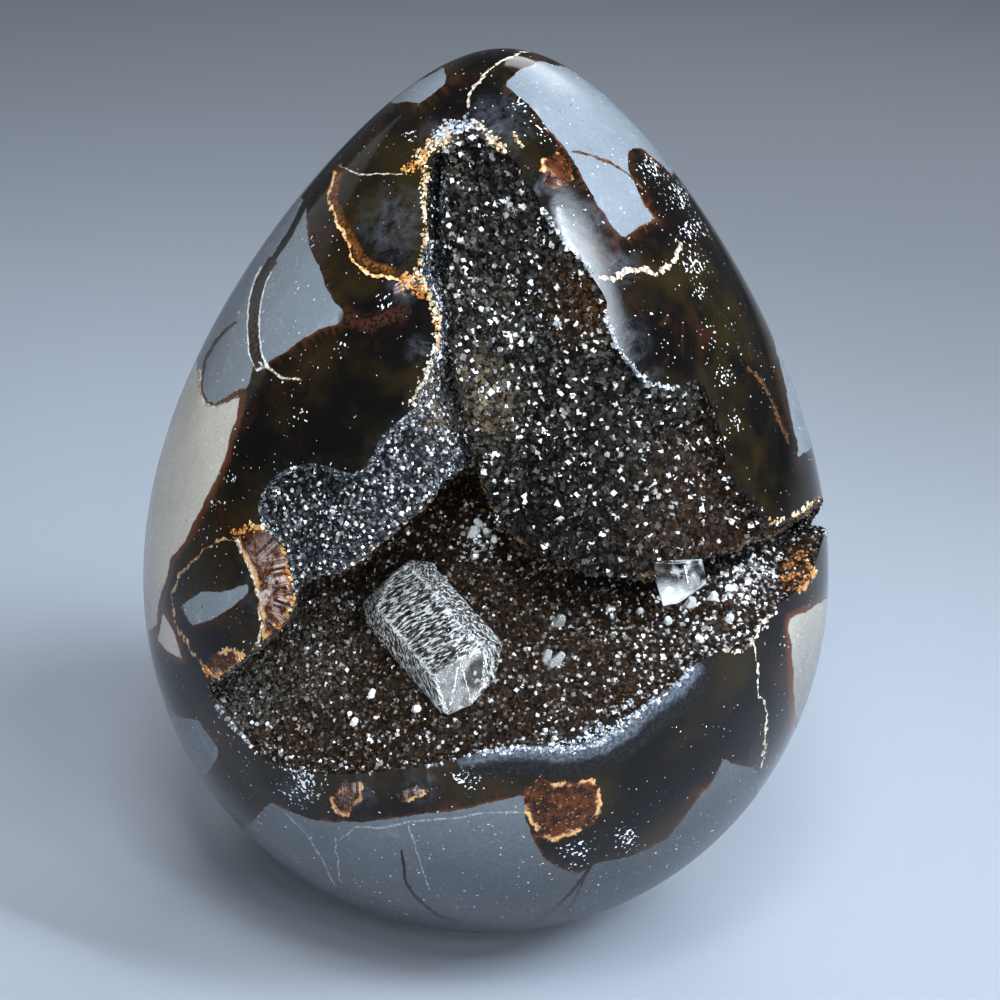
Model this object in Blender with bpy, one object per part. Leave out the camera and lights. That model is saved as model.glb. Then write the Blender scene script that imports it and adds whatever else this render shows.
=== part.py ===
"""A septarian nodule, cut and polished to an egg, with an open hollow lined with crystals.

Metres, +Z up. The origin is the centre of the small flat spot that the egg stands on,
and the hollow faces -Y.
"""
import math

import bmesh
import bpy
import numpy as np
from mathutils import Vector

# The egg: a turned profile around the vertical axis through the origin
EGG_HALF_HEIGHT = 0.0832
EGG_RADIUS = 0.0620
EGG_SLIM = -0.2616
EGG_FLATTEN = -0.1191
FLAT_AT = -0.983
TIP_LIMIT = 0.995
TIP_MARGIN = 0.004
LEAN_STEP = 0.0005
EGG_SIDES = 40
EGG_RINGS_ABOVE = 15
EGG_RINGS_BELOW = 9
CENTRE_Z = -FLAT_AT * EGG_HALF_HEIGHT

# The face sheet: the drawing of the front that the outlines below are on. Its x runs
# right and its y down, one unit is SHEET_UNIT metres at the egg's middle, and it is
# seen along a line of sight that looks down on the egg.
SHEET_UNIT = 0.000185
SHEET_MIDDLE = (489.3, 495.2)
SHEET_ROLL = 0.0434
SIGHT_TILT = math.radians(22)
SIGHT_DISTANCE = 0.5

# The rim of the hollow on the polished face, clockwise from the top left
RIM = [
    (427, 171), (428, 149), (447, 141), (464, 131), (474, 124), (492, 141), (507, 151),
    (521, 165), (525, 184), (538, 192), (540, 206), (550, 223), (565, 244), (585, 264),
    (595, 281), (609, 302), (605, 320), (616, 346), (627, 363), (646, 383), (674, 398),
    (684, 382), (700, 377), (712, 405), (721, 430), (725, 458), (730, 477), (746, 494),
    (760, 518), (772, 524), (799, 514), (812, 504), (845, 482), (850, 516), (826, 532),
    (816, 572), (797, 591), (776, 606), (759, 628), (744, 649), (723, 650), (691, 666),
    (679, 682), (643, 707), (628, 723), (602, 742), (564, 750), (524, 746), (480, 752),
    (437, 765), (372, 773), (307, 776), (263, 761), (240, 733), (212, 701), (202, 684),
    (217, 679), (254, 649), (287, 619), (294, 599), (284, 549), (260, 524), (257, 502),
    (269, 480), (289, 467), (314, 462), (354, 475), (371, 460), (380, 436), (411, 411),
    (424, 383), (437, 348), (440, 319), (427, 287), (418, 271), (427, 239), (424, 207),
]
# The lower edge of the two blocks that hang over the hollow's floor, left to right
BLOCK_EDGE = [
    (200, 640), (292, 592), (319, 579), (349, 569), (369, 552), (391, 537), (416, 512),
    (441, 492), (461, 475), (478, 466), (500, 530), (540, 559), (575, 575), (610, 581),
    (655, 578), (700, 560), (735, 549), (768, 537), (845, 488), (900, 450),
]
# The cleft between the two blocks, top to bottom
CLEFT = [(452, 120), (447, 200), (446, 280), (452, 340), (468, 420), (482, 480)]

# The hollow's depths below the polished face
RIM_STEP = 0.0014
CLEFT_DEPTH = 0.024
RIGHT_BLOCK_DEPTH = 0.0055
LEFT_BLOCK_DEPTH = 0.0060
CLEFT_SPREAD_RIGHT = 0.0170
CLEFT_SPREAD_LEFT = 0.0050
RIGHT_SLOPE = 0.8
LEFT_SLOPE = 5.0
CEILING_SLOPE = 0.28
BLOCK_EDGE_SLANT = 0.8
FLOOR_RISE = 0.65
BACK_WALL_Y = -0.004
NARROWS_FROM_Y = -0.024
NARROWS_BY = 0.22
REACH_OUT = 0.005
# The right end of the hollow: a slit that runs out through the egg's side
SLIT_FROM_X = 0.046
SLIT_OPENS_OVER = 0.006
SLIT_FALLS_FROM_Y = -0.014
SLIT_FALL = 0.45
SLIT_NARROWS_FROM_Y = -0.004
SLIT_NARROWS_BY = 0.12
SLIT_END_Y = 0.020
# The height of the floor at the rim, above the egg's middle, from left to right
FLOOR_RIM = [
    (-0.060, -0.0300), (-0.039, -0.0296), (-0.021, -0.0281), (0.004, -0.0198),
    (0.028, -0.0126), (0.046, -0.0070), (0.055, -0.0033), (0.062, 0.0020),
]

# The crust of crystals that lines the hollow
CELL = 0.0050
SAMPLE = 0.0024
CRUST_THICKNESS = 0.0020
CRYSTAL_HEIGHT = 0.0014
GAP = 0.0003
CRUST_SINK = 0.0003
SKIN_LOW = (-0.074, -0.078, CENTRE_Z - 0.048)
SKIN_HIGH = (0.078, 0.036, CENTRE_Z + 0.090)

# The clear crystals: corners on the face sheet, each with how near it is along the line
# of sight. The large one stands in the floor's crust and the small one on a block's edge.
CLEAR_CRYSTAL = [
    (410, 560, 0.0265), (430, 562, 0.0285), (376, 609, 0.0315), (393, 573, 0.0275),
    (363, 602, 0.0265), (367, 625, 0.0290), (404, 670, 0.0375), (432, 677, 0.0450),
    (441, 713, 0.0445), (459, 659, 0.0465), (487, 650, 0.0445), (503, 643, 0.0410),
    (495, 679, 0.0440), (471, 705, 0.0455), (448, 715, 0.0450), (437, 601, 0.0375),
]
CLEAR_FOOT = 0.0007
FLOOR_SCAN = 0.060
FLAT_ENOUGH = math.radians(4)
SLIT_CRYSTAL = [
    (654, 561, 0.0485), (686, 563, 0.0475), (702, 559, 0.0450), (707, 584, 0.0440),
    (679, 603, 0.0450), (663, 606, 0.0455), (656, 582, 0.0470), (690, 585, 0.0470),
]
SLIT_THICKNESS = 0.0036


def clear_scene():
    for thing in list(bpy.data.objects):
        bpy.data.objects.remove(thing, do_unlink=True)


def material(name, colour, roughness, alpha=1.0):
    mat = bpy.data.materials.new(name)
    mat.use_nodes = True
    shader = mat.node_tree.nodes["Principled BSDF"]
    shader.inputs["Base Color"].default_value = (*colour, 1.0)
    shader.inputs["Roughness"].default_value = roughness
    shader.inputs["Metallic"].default_value = 0.0
    shader.inputs["Alpha"].default_value = alpha
    return mat


def egg_radius(height):
    """The egg's radius at a height above its middle."""
    t = np.clip(np.asarray(height) / EGG_HALF_HEIGHT, -1.0, 1.0)
    return EGG_RADIUS * np.sqrt(1.0 - t * t) * (1.0 + EGG_SLIM * t + EGG_FLATTEN * t * t)


def egg_depth(x, y, z):
    """How far a point lies inside the polished face, negative outside."""
    height = z - CENTRE_Z
    level = np.clip(height, -TIP_LIMIT * EGG_HALF_HEIGHT, TIP_LIMIT * EGG_HALF_HEIGHT)
    lean = (egg_radius(level + LEAN_STEP) - egg_radius(level - LEAN_STEP)) / (2 * LEAN_STEP)
    inside = (egg_radius(height) - np.hypot(x, y)) / np.sqrt(1.0 + lean * lean)
    beyond = EGG_HALF_HEIGHT - np.abs(height)
    return np.minimum(inside, beyond + TIP_MARGIN)


def to_sheet(x, y, z):
    """A point's place on the face sheet, and how near it is along the line of sight."""
    height = z - CENTRE_Z
    rise = y * math.sin(SIGHT_TILT) + height * math.cos(SIGHT_TILT)
    near = -y * math.cos(SIGHT_TILT) + height * math.sin(SIGHT_TILT)
    scale = SIGHT_DISTANCE / (SIGHT_DISTANCE - near) / SHEET_UNIT
    u = x * scale
    v = rise * scale
    sheet_x = SHEET_MIDDLE[0] + u * math.cos(SHEET_ROLL) + v * math.sin(SHEET_ROLL)
    sheet_y = SHEET_MIDDLE[1] + u * math.sin(SHEET_ROLL) - v * math.cos(SHEET_ROLL)
    return sheet_x, sheet_y, near


def from_sheet(sheet_x, sheet_y, near):
    """The point at a place on the face sheet, at a nearness along the line of sight."""
    right = (sheet_x - SHEET_MIDDLE[0]) * SHEET_UNIT
    up = (SHEET_MIDDLE[1] - sheet_y) * SHEET_UNIT
    u = right * math.cos(SHEET_ROLL) - up * math.sin(SHEET_ROLL)
    v = right * math.sin(SHEET_ROLL) + up * math.cos(SHEET_ROLL)
    shrink = (SIGHT_DISTANCE - near) / SIGHT_DISTANCE
    rise = v * shrink
    y = rise * math.sin(SIGHT_TILT) - near * math.cos(SIGHT_TILT)
    z = rise * math.cos(SIGHT_TILT) + near * math.sin(SIGHT_TILT) + CENTRE_Z
    return u * shrink, y, z


def line_distance(px, py, points):
    """The distance to a line of straight runs, in sheet units."""
    best = np.full(np.shape(px), 1e9)
    for (ax, ay), (bx, by) in zip(points[:-1], points[1:]):
        run_x, run_y = bx - ax, by - ay
        along = ((px - ax) * run_x + (py - ay) * run_y) / (run_x ** 2 + run_y ** 2)
        along = np.clip(along, 0.0, 1.0)
        best = np.minimum(best, np.hypot(px - ax - along * run_x, py - ay - along * run_y))
    return best


def outline_distance(px, py, outline):
    """The distance to a closed outline, positive inside it, in sheet units."""
    closed = outline + outline[:1]
    crossings = np.zeros(np.shape(px), dtype=int)
    for (ax, ay), (bx, by) in zip(closed[:-1], closed[1:]):
        if ay == by:
            continue
        between = (py >= min(ay, by)) & (py < max(ay, by))
        crossings += between & (px < ax + (py - ay) * (bx - ax) / (by - ay))
    side = np.where(crossings % 2 == 1, 1.0, -1.0)
    return side * line_distance(px, py, closed)


def line_at(values, points, axis):
    """The other coordinate of a line of points, read at values of one coordinate."""
    known = [point[axis] for point in points]
    wanted = [point[1 - axis] for point in points]
    return np.interp(values, known, wanted)


def block_face_depth(px, py):
    """How deep the blocks' crystal faces lie below the polish, at places on the sheet."""
    from_cleft = line_distance(px, py, CLEFT) * SHEET_UNIT
    on_right = px > line_at(py, CLEFT, 1)
    base = np.where(on_right, RIGHT_BLOCK_DEPTH, LEFT_BLOCK_DEPTH)
    spread = np.where(on_right, CLEFT_SPREAD_RIGHT, CLEFT_SPREAD_LEFT)
    slope = np.where(on_right, RIGHT_SLOPE, LEFT_SLOPE)
    depth = base + (CLEFT_DEPTH - base) * np.exp(-((from_cleft / spread) ** 2))
    inside_rim = outline_distance(px, py, RIM) * SHEET_UNIT
    return np.minimum(depth, RIM_STEP + slope * np.maximum(inside_rim, 0.0))


def hollow(x, y, z):
    """How far a point lies inside the hollow, negative in the stone around it."""
    px, py, near = to_sheet(x, y, z)
    depth = egg_depth(x, y, z)
    inside_rim = outline_distance(px, py, RIM) * SHEET_UNIT
    above_edge = (line_at(px, BLOCK_EDGE, 0) - py) * SHEET_UNIT * BLOCK_EDGE_SLANT
    into_block = depth - block_face_depth(px, py)
    over_ceiling = above_edge - CEILING_SLOPE * into_block
    block = np.minimum(into_block, over_ceiling)
    rim_height = line_at(x, FLOOR_RIM, 0)
    floor = CENTRE_Z + rim_height - RIM_STEP + FLOOR_RISE * np.maximum(depth, 0.0)
    in_slit = np.clip((x - SLIT_FROM_X) / SLIT_OPENS_OVER, 0.0, 1.0)
    floor = floor - in_slit * SLIT_FALL * np.maximum(0.0, y - SLIT_FALLS_FROM_Y)
    over_floor = (z - floor) / math.hypot(1.0, FLOOR_RISE)
    space = np.minimum(np.minimum(inside_rim, over_floor), -block)
    space = space - (1 - in_slit) * NARROWS_BY * np.maximum(0.0, y - NARROWS_FROM_Y)
    space = space - in_slit * SLIT_NARROWS_BY * np.maximum(0.0, y - SLIT_NARROWS_FROM_Y)
    back_wall = BACK_WALL_Y + in_slit * (SLIT_END_Y - BACK_WALL_Y)
    return np.minimum(np.minimum(space, back_wall - y), depth + REACH_OUT)


def skin(field, low, high, cell):
    """A closed mesh of quads around the part of a field that is above zero.

    One corner goes in each grid cell that the surface passes through, at the mean of the
    surface's crossings of the cell's edges, and one quad joins the four cells around
    each grid edge that the surface crosses.
    """
    counts = [int(math.ceil((b - a) / cell)) + 1 for a, b in zip(low, high)]
    axes = [a + cell * np.arange(n) for a, n in zip(low, counts)]
    grid = np.meshgrid(*axes, indexing="ij")
    values = field(*grid)
    inside = values > 0
    total = np.zeros([n - 1 for n in counts] + [3])
    hits = np.zeros([n - 1 for n in counts])
    crossings = []
    for axis in range(3):
        first = [slice(None)] * 3
        second = [slice(None)] * 3
        first[axis] = slice(0, -1)
        second[axis] = slice(1, None)
        a, b = values[tuple(first)], values[tuple(second)]
        crossed = (a > 0) != (b > 0)
        share = np.where(crossed, a / np.where(crossed, a - b, 1.0), 0.0)
        point = np.stack([g[tuple(first)] for g in grid], axis=-1)
        point[..., axis] += share * cell
        others = [other for other in range(3) if other != axis]
        for step_a in (0, 1):
            for step_b in (0, 1):
                part = [slice(None)] * 3
                part[others[0]] = slice(step_a, counts[others[0]] - 1 + step_a)
                part[others[1]] = slice(step_b, counts[others[1]] - 1 + step_b)
                mask = crossed[tuple(part)]
                total += np.where(mask[..., None], point[tuple(part)], 0.0)
                hits += mask
        crossings.append((crossed, inside[tuple(first)]))
    used = hits > 0
    index = np.full(hits.shape, -1)
    index[used] = np.arange(used.sum())
    corners = total[used] / hits[used][:, None]
    faces = []
    for axis, (crossed, starts_inside) in enumerate(crossings):
        b, c = [(1, 2), (2, 0), (0, 1)][axis]
        for place in np.argwhere(crossed):
            if place[b] == 0 or place[c] == 0:
                continue
            if place[b] >= counts[b] - 1 or place[c] >= counts[c] - 1:
                continue
            ring = []
            for back_b, back_c in ((1, 1), (0, 1), (0, 0), (1, 0)):
                cell_place = place.copy()
                cell_place[b] -= back_b
                cell_place[c] -= back_c
                ring.append(index[tuple(cell_place)])
            if not starts_inside[tuple(place)]:
                ring.reverse()
            faces.append(ring)
    return corners, faces


def mesh_object(name, corners, faces, mat):
    mesh = bpy.data.meshes.new(name)
    mesh.from_pydata([tuple(corner) for corner in corners], [], [tuple(f) for f in faces])
    mesh.update()
    thing = bpy.data.objects.new(name, mesh)
    bpy.context.collection.objects.link(thing)
    if mat:
        mesh.materials.append(mat)
    return thing


def egg_object(name, mat, shrink=0.0):
    """The egg as a turned solid with a flat spot, smaller all over by shrink."""
    scan = np.linspace(-1.0, 1.0, 4001)
    widest = scan[np.argmax(egg_radius(scan * EGG_HALF_HEIGHT))]
    below = np.linspace(math.acos(-FLAT_AT), math.acos(-widest), EGG_RINGS_BELOW)
    above = np.linspace(math.acos(-widest), math.pi, EGG_RINGS_ABOVE)
    levels = [-math.cos(angle) for angle in below] + [-math.cos(angle) for angle in above[1:-1]]
    corners = []
    faces = []
    for level in levels:
        height = level * EGG_HALF_HEIGHT
        radius = float(egg_radius(height)) - shrink
        for side in range(EGG_SIDES):
            angle = 2 * math.pi * side / EGG_SIDES
            lift = shrink if level == levels[0] else 0.0
            corners.append((radius * math.cos(angle), radius * math.sin(angle),
                            CENTRE_Z + height + lift))
    top = len(corners)
    corners.append((0.0, 0.0, CENTRE_Z + EGG_HALF_HEIGHT - shrink))
    faces.append([side for side in reversed(range(EGG_SIDES))])
    for ring in range(len(levels) - 1):
        for side in range(EGG_SIDES):
            after = (side + 1) % EGG_SIDES
            low, high = ring * EGG_SIDES, (ring + 1) * EGG_SIDES
            faces.append([low + side, low + after, high + after, high + side])
    last = (len(levels) - 1) * EGG_SIDES
    for side in range(EGG_SIDES):
        faces.append([last + side, last + (side + 1) % EGG_SIDES, top])
    return mesh_object(name, corners, faces, mat)


def apply_modifiers(thing):
    graph = bpy.context.evaluated_depsgraph_get()
    result = bpy.data.meshes.new_from_object(thing.evaluated_get(graph))
    thing.modifiers.clear()
    thing.data = result


def cut(thing, tool, operation, solver="EXACT"):
    """Apply a Boolean with one tool."""
    step = thing.modifiers.new(operation.title(), "BOOLEAN")
    step.operation = operation
    step.solver = solver
    step.object = tool
    apply_modifiers(thing)


def skin_object(name, field):
    """The closed skin of a field around the hollow, in even quads of about one cell."""
    thing = mesh_object(name, *skin(field, SKIN_LOW, SKIN_HIGH, SAMPLE), None)
    step = thing.modifiers.new("Remesh", "REMESH")
    step.mode = "VOXEL"
    step.voxel_size = CELL
    apply_modifiers(thing)
    return thing


def keep_largest(thing):
    """Delete every loose scrap but the largest body."""
    shape = bmesh.new()
    shape.from_mesh(thing.data)
    seen = set()
    bodies = []
    for start in shape.verts:
        if start in seen:
            continue
        body = [start]
        seen.add(start)
        for vert in body:
            for edge in vert.link_edges:
                other = edge.other_vert(vert)
                if other not in seen:
                    seen.add(other)
                    body.append(other)
        bodies.append(body)
    bodies.sort(key=len, reverse=True)
    for body in bodies[1:]:
        bmesh.ops.delete(shape, geom=body, context="VERTS")
    shape.to_mesh(thing.data)
    shape.free()


def grow(thing, amount):
    """Move every corner along its normal."""
    shape = bmesh.new()
    shape.from_mesh(thing.data)
    shape.normal_update()
    moves = [vert.normal * amount for vert in shape.verts]
    for vert, move in zip(shape.verts, moves):
        vert.co += move
    shape.to_mesh(thing.data)
    shape.free()


def split_quads(thing):
    """Ease the corners and split every quad, so that grown copies stay parallel to it."""
    shape = bmesh.new()
    shape.from_mesh(thing.data)
    bmesh.ops.smooth_vert(shape, verts=shape.verts[:], factor=0.5,
                          use_axis_x=True, use_axis_y=True, use_axis_z=True)
    bmesh.ops.triangulate(shape, faces=shape.faces[:])
    shape.to_mesh(thing.data)
    shape.free()


def raise_crystals(thing, height):
    """Turn every quad into a low pyramid that points into the hollow."""
    shape = bmesh.new()
    shape.from_mesh(thing.data)
    bmesh.ops.poke(shape, faces=shape.faces[:], offset=-height, center_mode="MEAN")
    shape.to_mesh(thing.data)
    shape.free()


def floor_nearness(sheet_x, sheet_y):
    """How near the hollow's floor is where a line of sight meets it."""
    nearness = np.linspace(FLOOR_SCAN, 0.0, 601)
    x, y, z = from_sheet(sheet_x, sheet_y, nearness)
    stone = (hollow(x, y, z) < 0) & (egg_depth(x, y, z) > 0)
    return float(nearness[int(np.argmax(stone))])


def clear_crystal(name, fronts, backs, mat):
    """A faceted crystal around its front and back corners, given on the face sheet."""
    shape = bmesh.new()
    for corner in fronts + backs:
        shape.verts.new(Vector(from_sheet(*corner)))
    result = bmesh.ops.convex_hull(shape, input=shape.verts[:])
    loose = [v for v in result["geom_interior"] if isinstance(v, bmesh.types.BMVert)]
    bmesh.ops.delete(shape, geom=loose, context="VERTS")
    bmesh.ops.dissolve_limit(shape, angle_limit=FLAT_ENOUGH, verts=shape.verts[:],
                             edges=shape.edges[:])
    bmesh.ops.recalc_face_normals(shape, faces=shape.faces[:])
    mesh = bpy.data.meshes.new(name)
    shape.to_mesh(mesh)
    shape.free()
    thing = bpy.data.objects.new(name, mesh)
    bpy.context.collection.objects.link(thing)
    mesh.materials.append(mat)
    return thing


def build():
    clear_scene()
    stone = material("polished_stone", (0.10, 0.09, 0.09), 0.15)
    druse = material("druse", (0.05, 0.035, 0.025), 0.35)
    clear = material("clear_calcite", (0.80, 0.84, 0.86), 0.10, 0.35)

    lining = skin_object("lining", lambda x, y, z: hollow(x, y, z) + CRUST_THICKNESS)
    faces_in = skin_object("faces_in", hollow)
    raise_crystals(faces_in, CRYSTAL_HEIGHT)
    split_quads(lining)
    seat = lining.copy()
    seat.data = lining.data.copy()
    bpy.context.collection.objects.link(seat)
    grow(seat, GAP)

    nodule = egg_object("nodule", stone)
    cut(nodule, seat, "DIFFERENCE")
    keep_largest(nodule)

    crust = egg_object("druse_crust", druse, CRUST_SINK)
    cut(crust, lining, "INTERSECT")
    cut(crust, faces_in, "DIFFERENCE", "MANIFOLD")
    keep_largest(crust)

    standing = [(x, y, floor_nearness(x, y) - CLEAR_FOOT) for x, y, near in CLEAR_CRYSTAL]
    hanging = [(x, y, near - SLIT_THICKNESS) for x, y, near in SLIT_CRYSTAL]
    for name, fronts, backs in (
        ("clear_crystal", CLEAR_CRYSTAL, standing),
        ("slit_crystal", SLIT_CRYSTAL, hanging),
    ):
        crystal = clear_crystal(name, fronts, backs, clear)
        pocket = crystal.copy()
        pocket.data = crystal.data.copy()
        bpy.context.collection.objects.link(pocket)
        grow(pocket, GAP)
        cut(crust, pocket, "DIFFERENCE")
        keep_largest(crust)
        bpy.data.objects.remove(pocket)
    for tool in (lining, faces_in, seat):
        bpy.data.objects.remove(tool)


build()
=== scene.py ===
"""The looks of a polished septarian egg: its stone, its druse-lined hollow, its crystals."""
import math

import bmesh
import bpy
import numpy as np
from mathutils import Matrix, Vector


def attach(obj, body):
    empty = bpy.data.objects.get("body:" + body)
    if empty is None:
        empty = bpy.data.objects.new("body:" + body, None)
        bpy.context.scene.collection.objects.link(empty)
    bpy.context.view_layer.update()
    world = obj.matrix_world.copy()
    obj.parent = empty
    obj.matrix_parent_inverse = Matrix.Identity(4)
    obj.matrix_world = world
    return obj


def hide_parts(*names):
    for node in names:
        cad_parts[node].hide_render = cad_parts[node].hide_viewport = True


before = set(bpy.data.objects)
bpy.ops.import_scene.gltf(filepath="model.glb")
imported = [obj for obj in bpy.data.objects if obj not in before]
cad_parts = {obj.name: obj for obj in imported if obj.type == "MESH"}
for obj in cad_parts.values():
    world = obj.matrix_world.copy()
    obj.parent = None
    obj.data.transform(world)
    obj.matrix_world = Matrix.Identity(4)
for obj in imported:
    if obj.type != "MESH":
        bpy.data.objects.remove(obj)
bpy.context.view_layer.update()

MM = 0.001

# The egg, as the solids have it
EGG_HALF_HEIGHT = 0.0832
EGG_RADIUS = 0.0620
EGG_SLIM = -0.2616
EGG_FLATTEN = -0.1191
FLAT_AT = -0.983
TIP_LIMIT = 0.995
TIP_MARGIN = 0.004
LEAN_STEP = 0.0005
CENTRE_Z = -FLAT_AT * EGG_HALF_HEIGHT

# The face sheet: the drawing of the front that the outlines below are on. Its x runs
# right and its y down, one unit is SHEET_UNIT metres at the egg's middle, and it is
# seen along the camera's line of sight, which looks down on the egg.
SHEET_UNIT = 0.000185
SHEET_MIDDLE = (489.3, 495.2)
SHEET_ROLL = 0.0434
SIGHT_TILT = math.radians(22)
SIGHT_DISTANCE = 0.5
SHEET_MM = SHEET_UNIT / MM

# The rim of the hollow on the polished face, clockwise from the top left
RIM = [
    (427, 171), (428, 149), (447, 141), (464, 131), (474, 124), (492, 141), (507, 151),
    (521, 165), (525, 184), (538, 192), (540, 206), (550, 223), (565, 244), (585, 264),
    (595, 281), (609, 302), (605, 320), (616, 346), (627, 363), (646, 383), (674, 398),
    (684, 382), (700, 377), (712, 405), (721, 430), (725, 458), (730, 477), (746, 494),
    (760, 518), (772, 524), (799, 514), (812, 504), (845, 482), (850, 516), (826, 532),
    (816, 572), (797, 591), (776, 606), (759, 628), (744, 649), (723, 650), (691, 666),
    (679, 682), (643, 707), (628, 723), (602, 742), (564, 750), (524, 746), (480, 752),
    (437, 765), (372, 773), (307, 776), (263, 761), (240, 733), (212, 701), (202, 684),
    (217, 679), (254, 649), (287, 619), (294, 599), (284, 549), (260, 524), (257, 502),
    (269, 480), (289, 467), (314, 462), (354, 475), (371, 460), (380, 436), (411, 411),
    (424, 383), (437, 348), (440, 319), (427, 287), (418, 271), (427, 239), (424, 207),
]
# The lower edge of the two blocks that hang over the hollow's floor, left to right
BLOCK_EDGE = [
    (200, 640), (292, 592), (319, 579), (349, 569), (369, 552), (391, 537), (416, 512),
    (441, 492), (461, 475), (478, 466), (500, 530), (540, 559), (575, 575), (610, 581),
    (655, 578), (700, 560), (735, 549), (768, 537), (845, 488), (900, 450),
]
# The cleft between the two blocks, top to bottom
CLEFT = [(452, 120), (447, 200), (446, 280), (452, 340), (468, 420), (482, 480)]

# The hollow's depths below the polished face
RIM_STEP = 0.0014
CLEFT_DEPTH = 0.024
RIGHT_BLOCK_DEPTH = 0.0055
LEFT_BLOCK_DEPTH = 0.0060
CLEFT_SPREAD_RIGHT = 0.0170
CLEFT_SPREAD_LEFT = 0.0050
RIGHT_SLOPE = 0.8
LEFT_SLOPE = 5.0
CEILING_SLOPE = 0.28
BLOCK_EDGE_SLANT = 0.8
FLOOR_RISE = 0.65
BACK_WALL_Y = -0.004
NARROWS_FROM_Y = -0.024
NARROWS_BY = 0.22
REACH_OUT = 0.005
# The right end of the hollow: a slit that runs out through the egg's side
SLIT_FROM_X = 0.046
SLIT_OPENS_OVER = 0.006
SLIT_FALLS_FROM_Y = -0.014
SLIT_FALL = 0.45
SLIT_NARROWS_FROM_Y = -0.004
SLIT_NARROWS_BY = 0.12
SLIT_END_Y = 0.020
# The height of the floor at the rim, above the egg's middle, from left to right
FLOOR_RIM = [
    (-0.060, -0.0300), (-0.039, -0.0296), (-0.021, -0.0281), (0.004, -0.0198),
    (0.028, -0.0126), (0.046, -0.0070), (0.055, -0.0033), (0.062, 0.0020),
]

# The grey stone between the calcite bands
GREY_TOP_RIGHT = [
    (505, 84), (519, 69), (541, 61), (564, 67), (600, 70), (700, 120), (672, 175),
    (640, 146), (628, 151), (627, 169), (637, 185), (643, 204), (656, 220), (640, 226),
    (624, 239), (612, 226), (599, 207), (583, 179), (567, 150), (548, 128), (529, 105),
]
GREY_TOP_LEFT = [
    (391, 103), (409, 102), (420, 103), (430, 95), (445, 85), (447, 76), (443, 68),
    (414, 84), (390, 92),
]
GREY_LEFT_UPPER = [
    (307, 200), (307, 232), (310, 248), (319, 266), (326, 286), (334, 302), (344, 312),
    (341, 323), (319, 329), (303, 339), (285, 352), (271, 361), (266, 366), (254, 364),
    (253, 366), (248, 386), (244, 389), (230, 398), (216, 407), (205, 404), (200, 391),
    (195, 375), (170, 340), (200, 290), (290, 195),
]
CREAM_LEFT = [
    (241, 396), (237, 418), (230, 437), (225, 459), (212, 487), (197, 517), (187, 539),
    (172, 557), (165, 582), (159, 604), (157, 624), (140, 640), (110, 600), (120, 500),
    (150, 410), (196, 360), (200, 391), (205, 404), (216, 407), (230, 400),
]
GREY_LEFT_LOW = [(163, 612), (175, 636), (182, 659), (167, 651), (158, 639)]
GREY_LOW_LEFT = [
    (198, 720), (220, 752), (207, 774), (185, 780), (160, 730), (150, 690), (179, 718),
]
GREY_BELOW = [
    (252, 822), (270, 802), (292, 813), (315, 820), (337, 822), (372, 821), (415, 815),
    (459, 811), (491, 802), (524, 794), (525, 820), (535, 842), (545, 859), (563, 870),
    (580, 874), (593, 863), (621, 859), (650, 848), (667, 838), (684, 818), (699, 798),
    (712, 781), (719, 770), (723, 758), (732, 764), (745, 766), (758, 770), (756, 787),
    (770, 830), (650, 990), (330, 990), (215, 850),
]
CREAM_RIGHT = [
    (788, 626), (791, 618), (814, 607), (850, 580), (850, 700), (795, 735), (794, 696),
    (793, 668), (791, 640),
]
GREY_RIGHT_EDGE = [
    (750, 270), (767, 318), (776, 350), (785, 385), (790, 410), (797, 440), (799, 457),
    (814, 446), (840, 430), (800, 300),
]
ROSETTE_CHIP = [
    (182, 604), (202, 592), (222, 592), (247, 584), (249, 592), (229, 609), (212, 619),
    (192, 626), (185, 614),
]
GREY_OUTLINES = [
    GREY_TOP_RIGHT, GREY_TOP_LEFT, GREY_LEFT_UPPER, CREAM_LEFT, GREY_LEFT_LOW,
    GREY_LOW_LEFT, GREY_BELOW, CREAM_RIGHT, GREY_RIGHT_EDGE, ROSETTE_CHIP,
]
CREAM_OUTLINES = [CREAM_LEFT, CREAM_RIGHT, GREY_LEFT_LOW]

# Orange calcite on the polished face
AMBER_LUMP = [
    (522, 790), (535, 779), (554, 783), (572, 781), (595, 779), (600, 792), (601, 811),
    (593, 824), (572, 835), (558, 842), (539, 838), (532, 824), (524, 809),
]
AMBER_SPOTS = [
    [(330, 800), (345, 780), (362, 782), (360, 800), (348, 816), (336, 814)],
    [(392, 796), (410, 788), (430, 789), (424, 797), (402, 802)],
    [(513, 762), (524, 757), (532, 766), (528, 776), (516, 774)],
    [(392, 288), (399, 282), (406, 288), (403, 296), (396, 294)],
    [(790, 562), (808, 555), (816, 570), (806, 590), (790, 590)],
    [(540, 160), (556, 153), (570, 160), (574, 180), (560, 188), (545, 186)],
]
ROSETTE_RIM = [
    (236, 540), (224, 537), (202, 554), (180, 574), (172, 594), (175, 619), (190, 651),
    (207, 671), (217, 679), (237, 666), (254, 649),
]
ROSETTE_LOBE = [
    (236, 540), (249, 527), (279, 529), (284, 549), (289, 574), (294, 599), (287, 619),
    (272, 636), (256, 645), (262, 630), (258, 595), (255, 580), (247, 560),
]
ROSETTE_FOOT = [(203, 666), (217, 679), (237, 666), (248, 655), (232, 648), (214, 652)]
ROSETTE_SEAM = [(236, 540), (247, 560), (255, 580), (258, 595), (262, 630), (256, 645)]
AMBER_OUTLINES = [AMBER_LUMP, ROSETTE_LOBE, ROSETTE_FOOT] + AMBER_SPOTS

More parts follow.
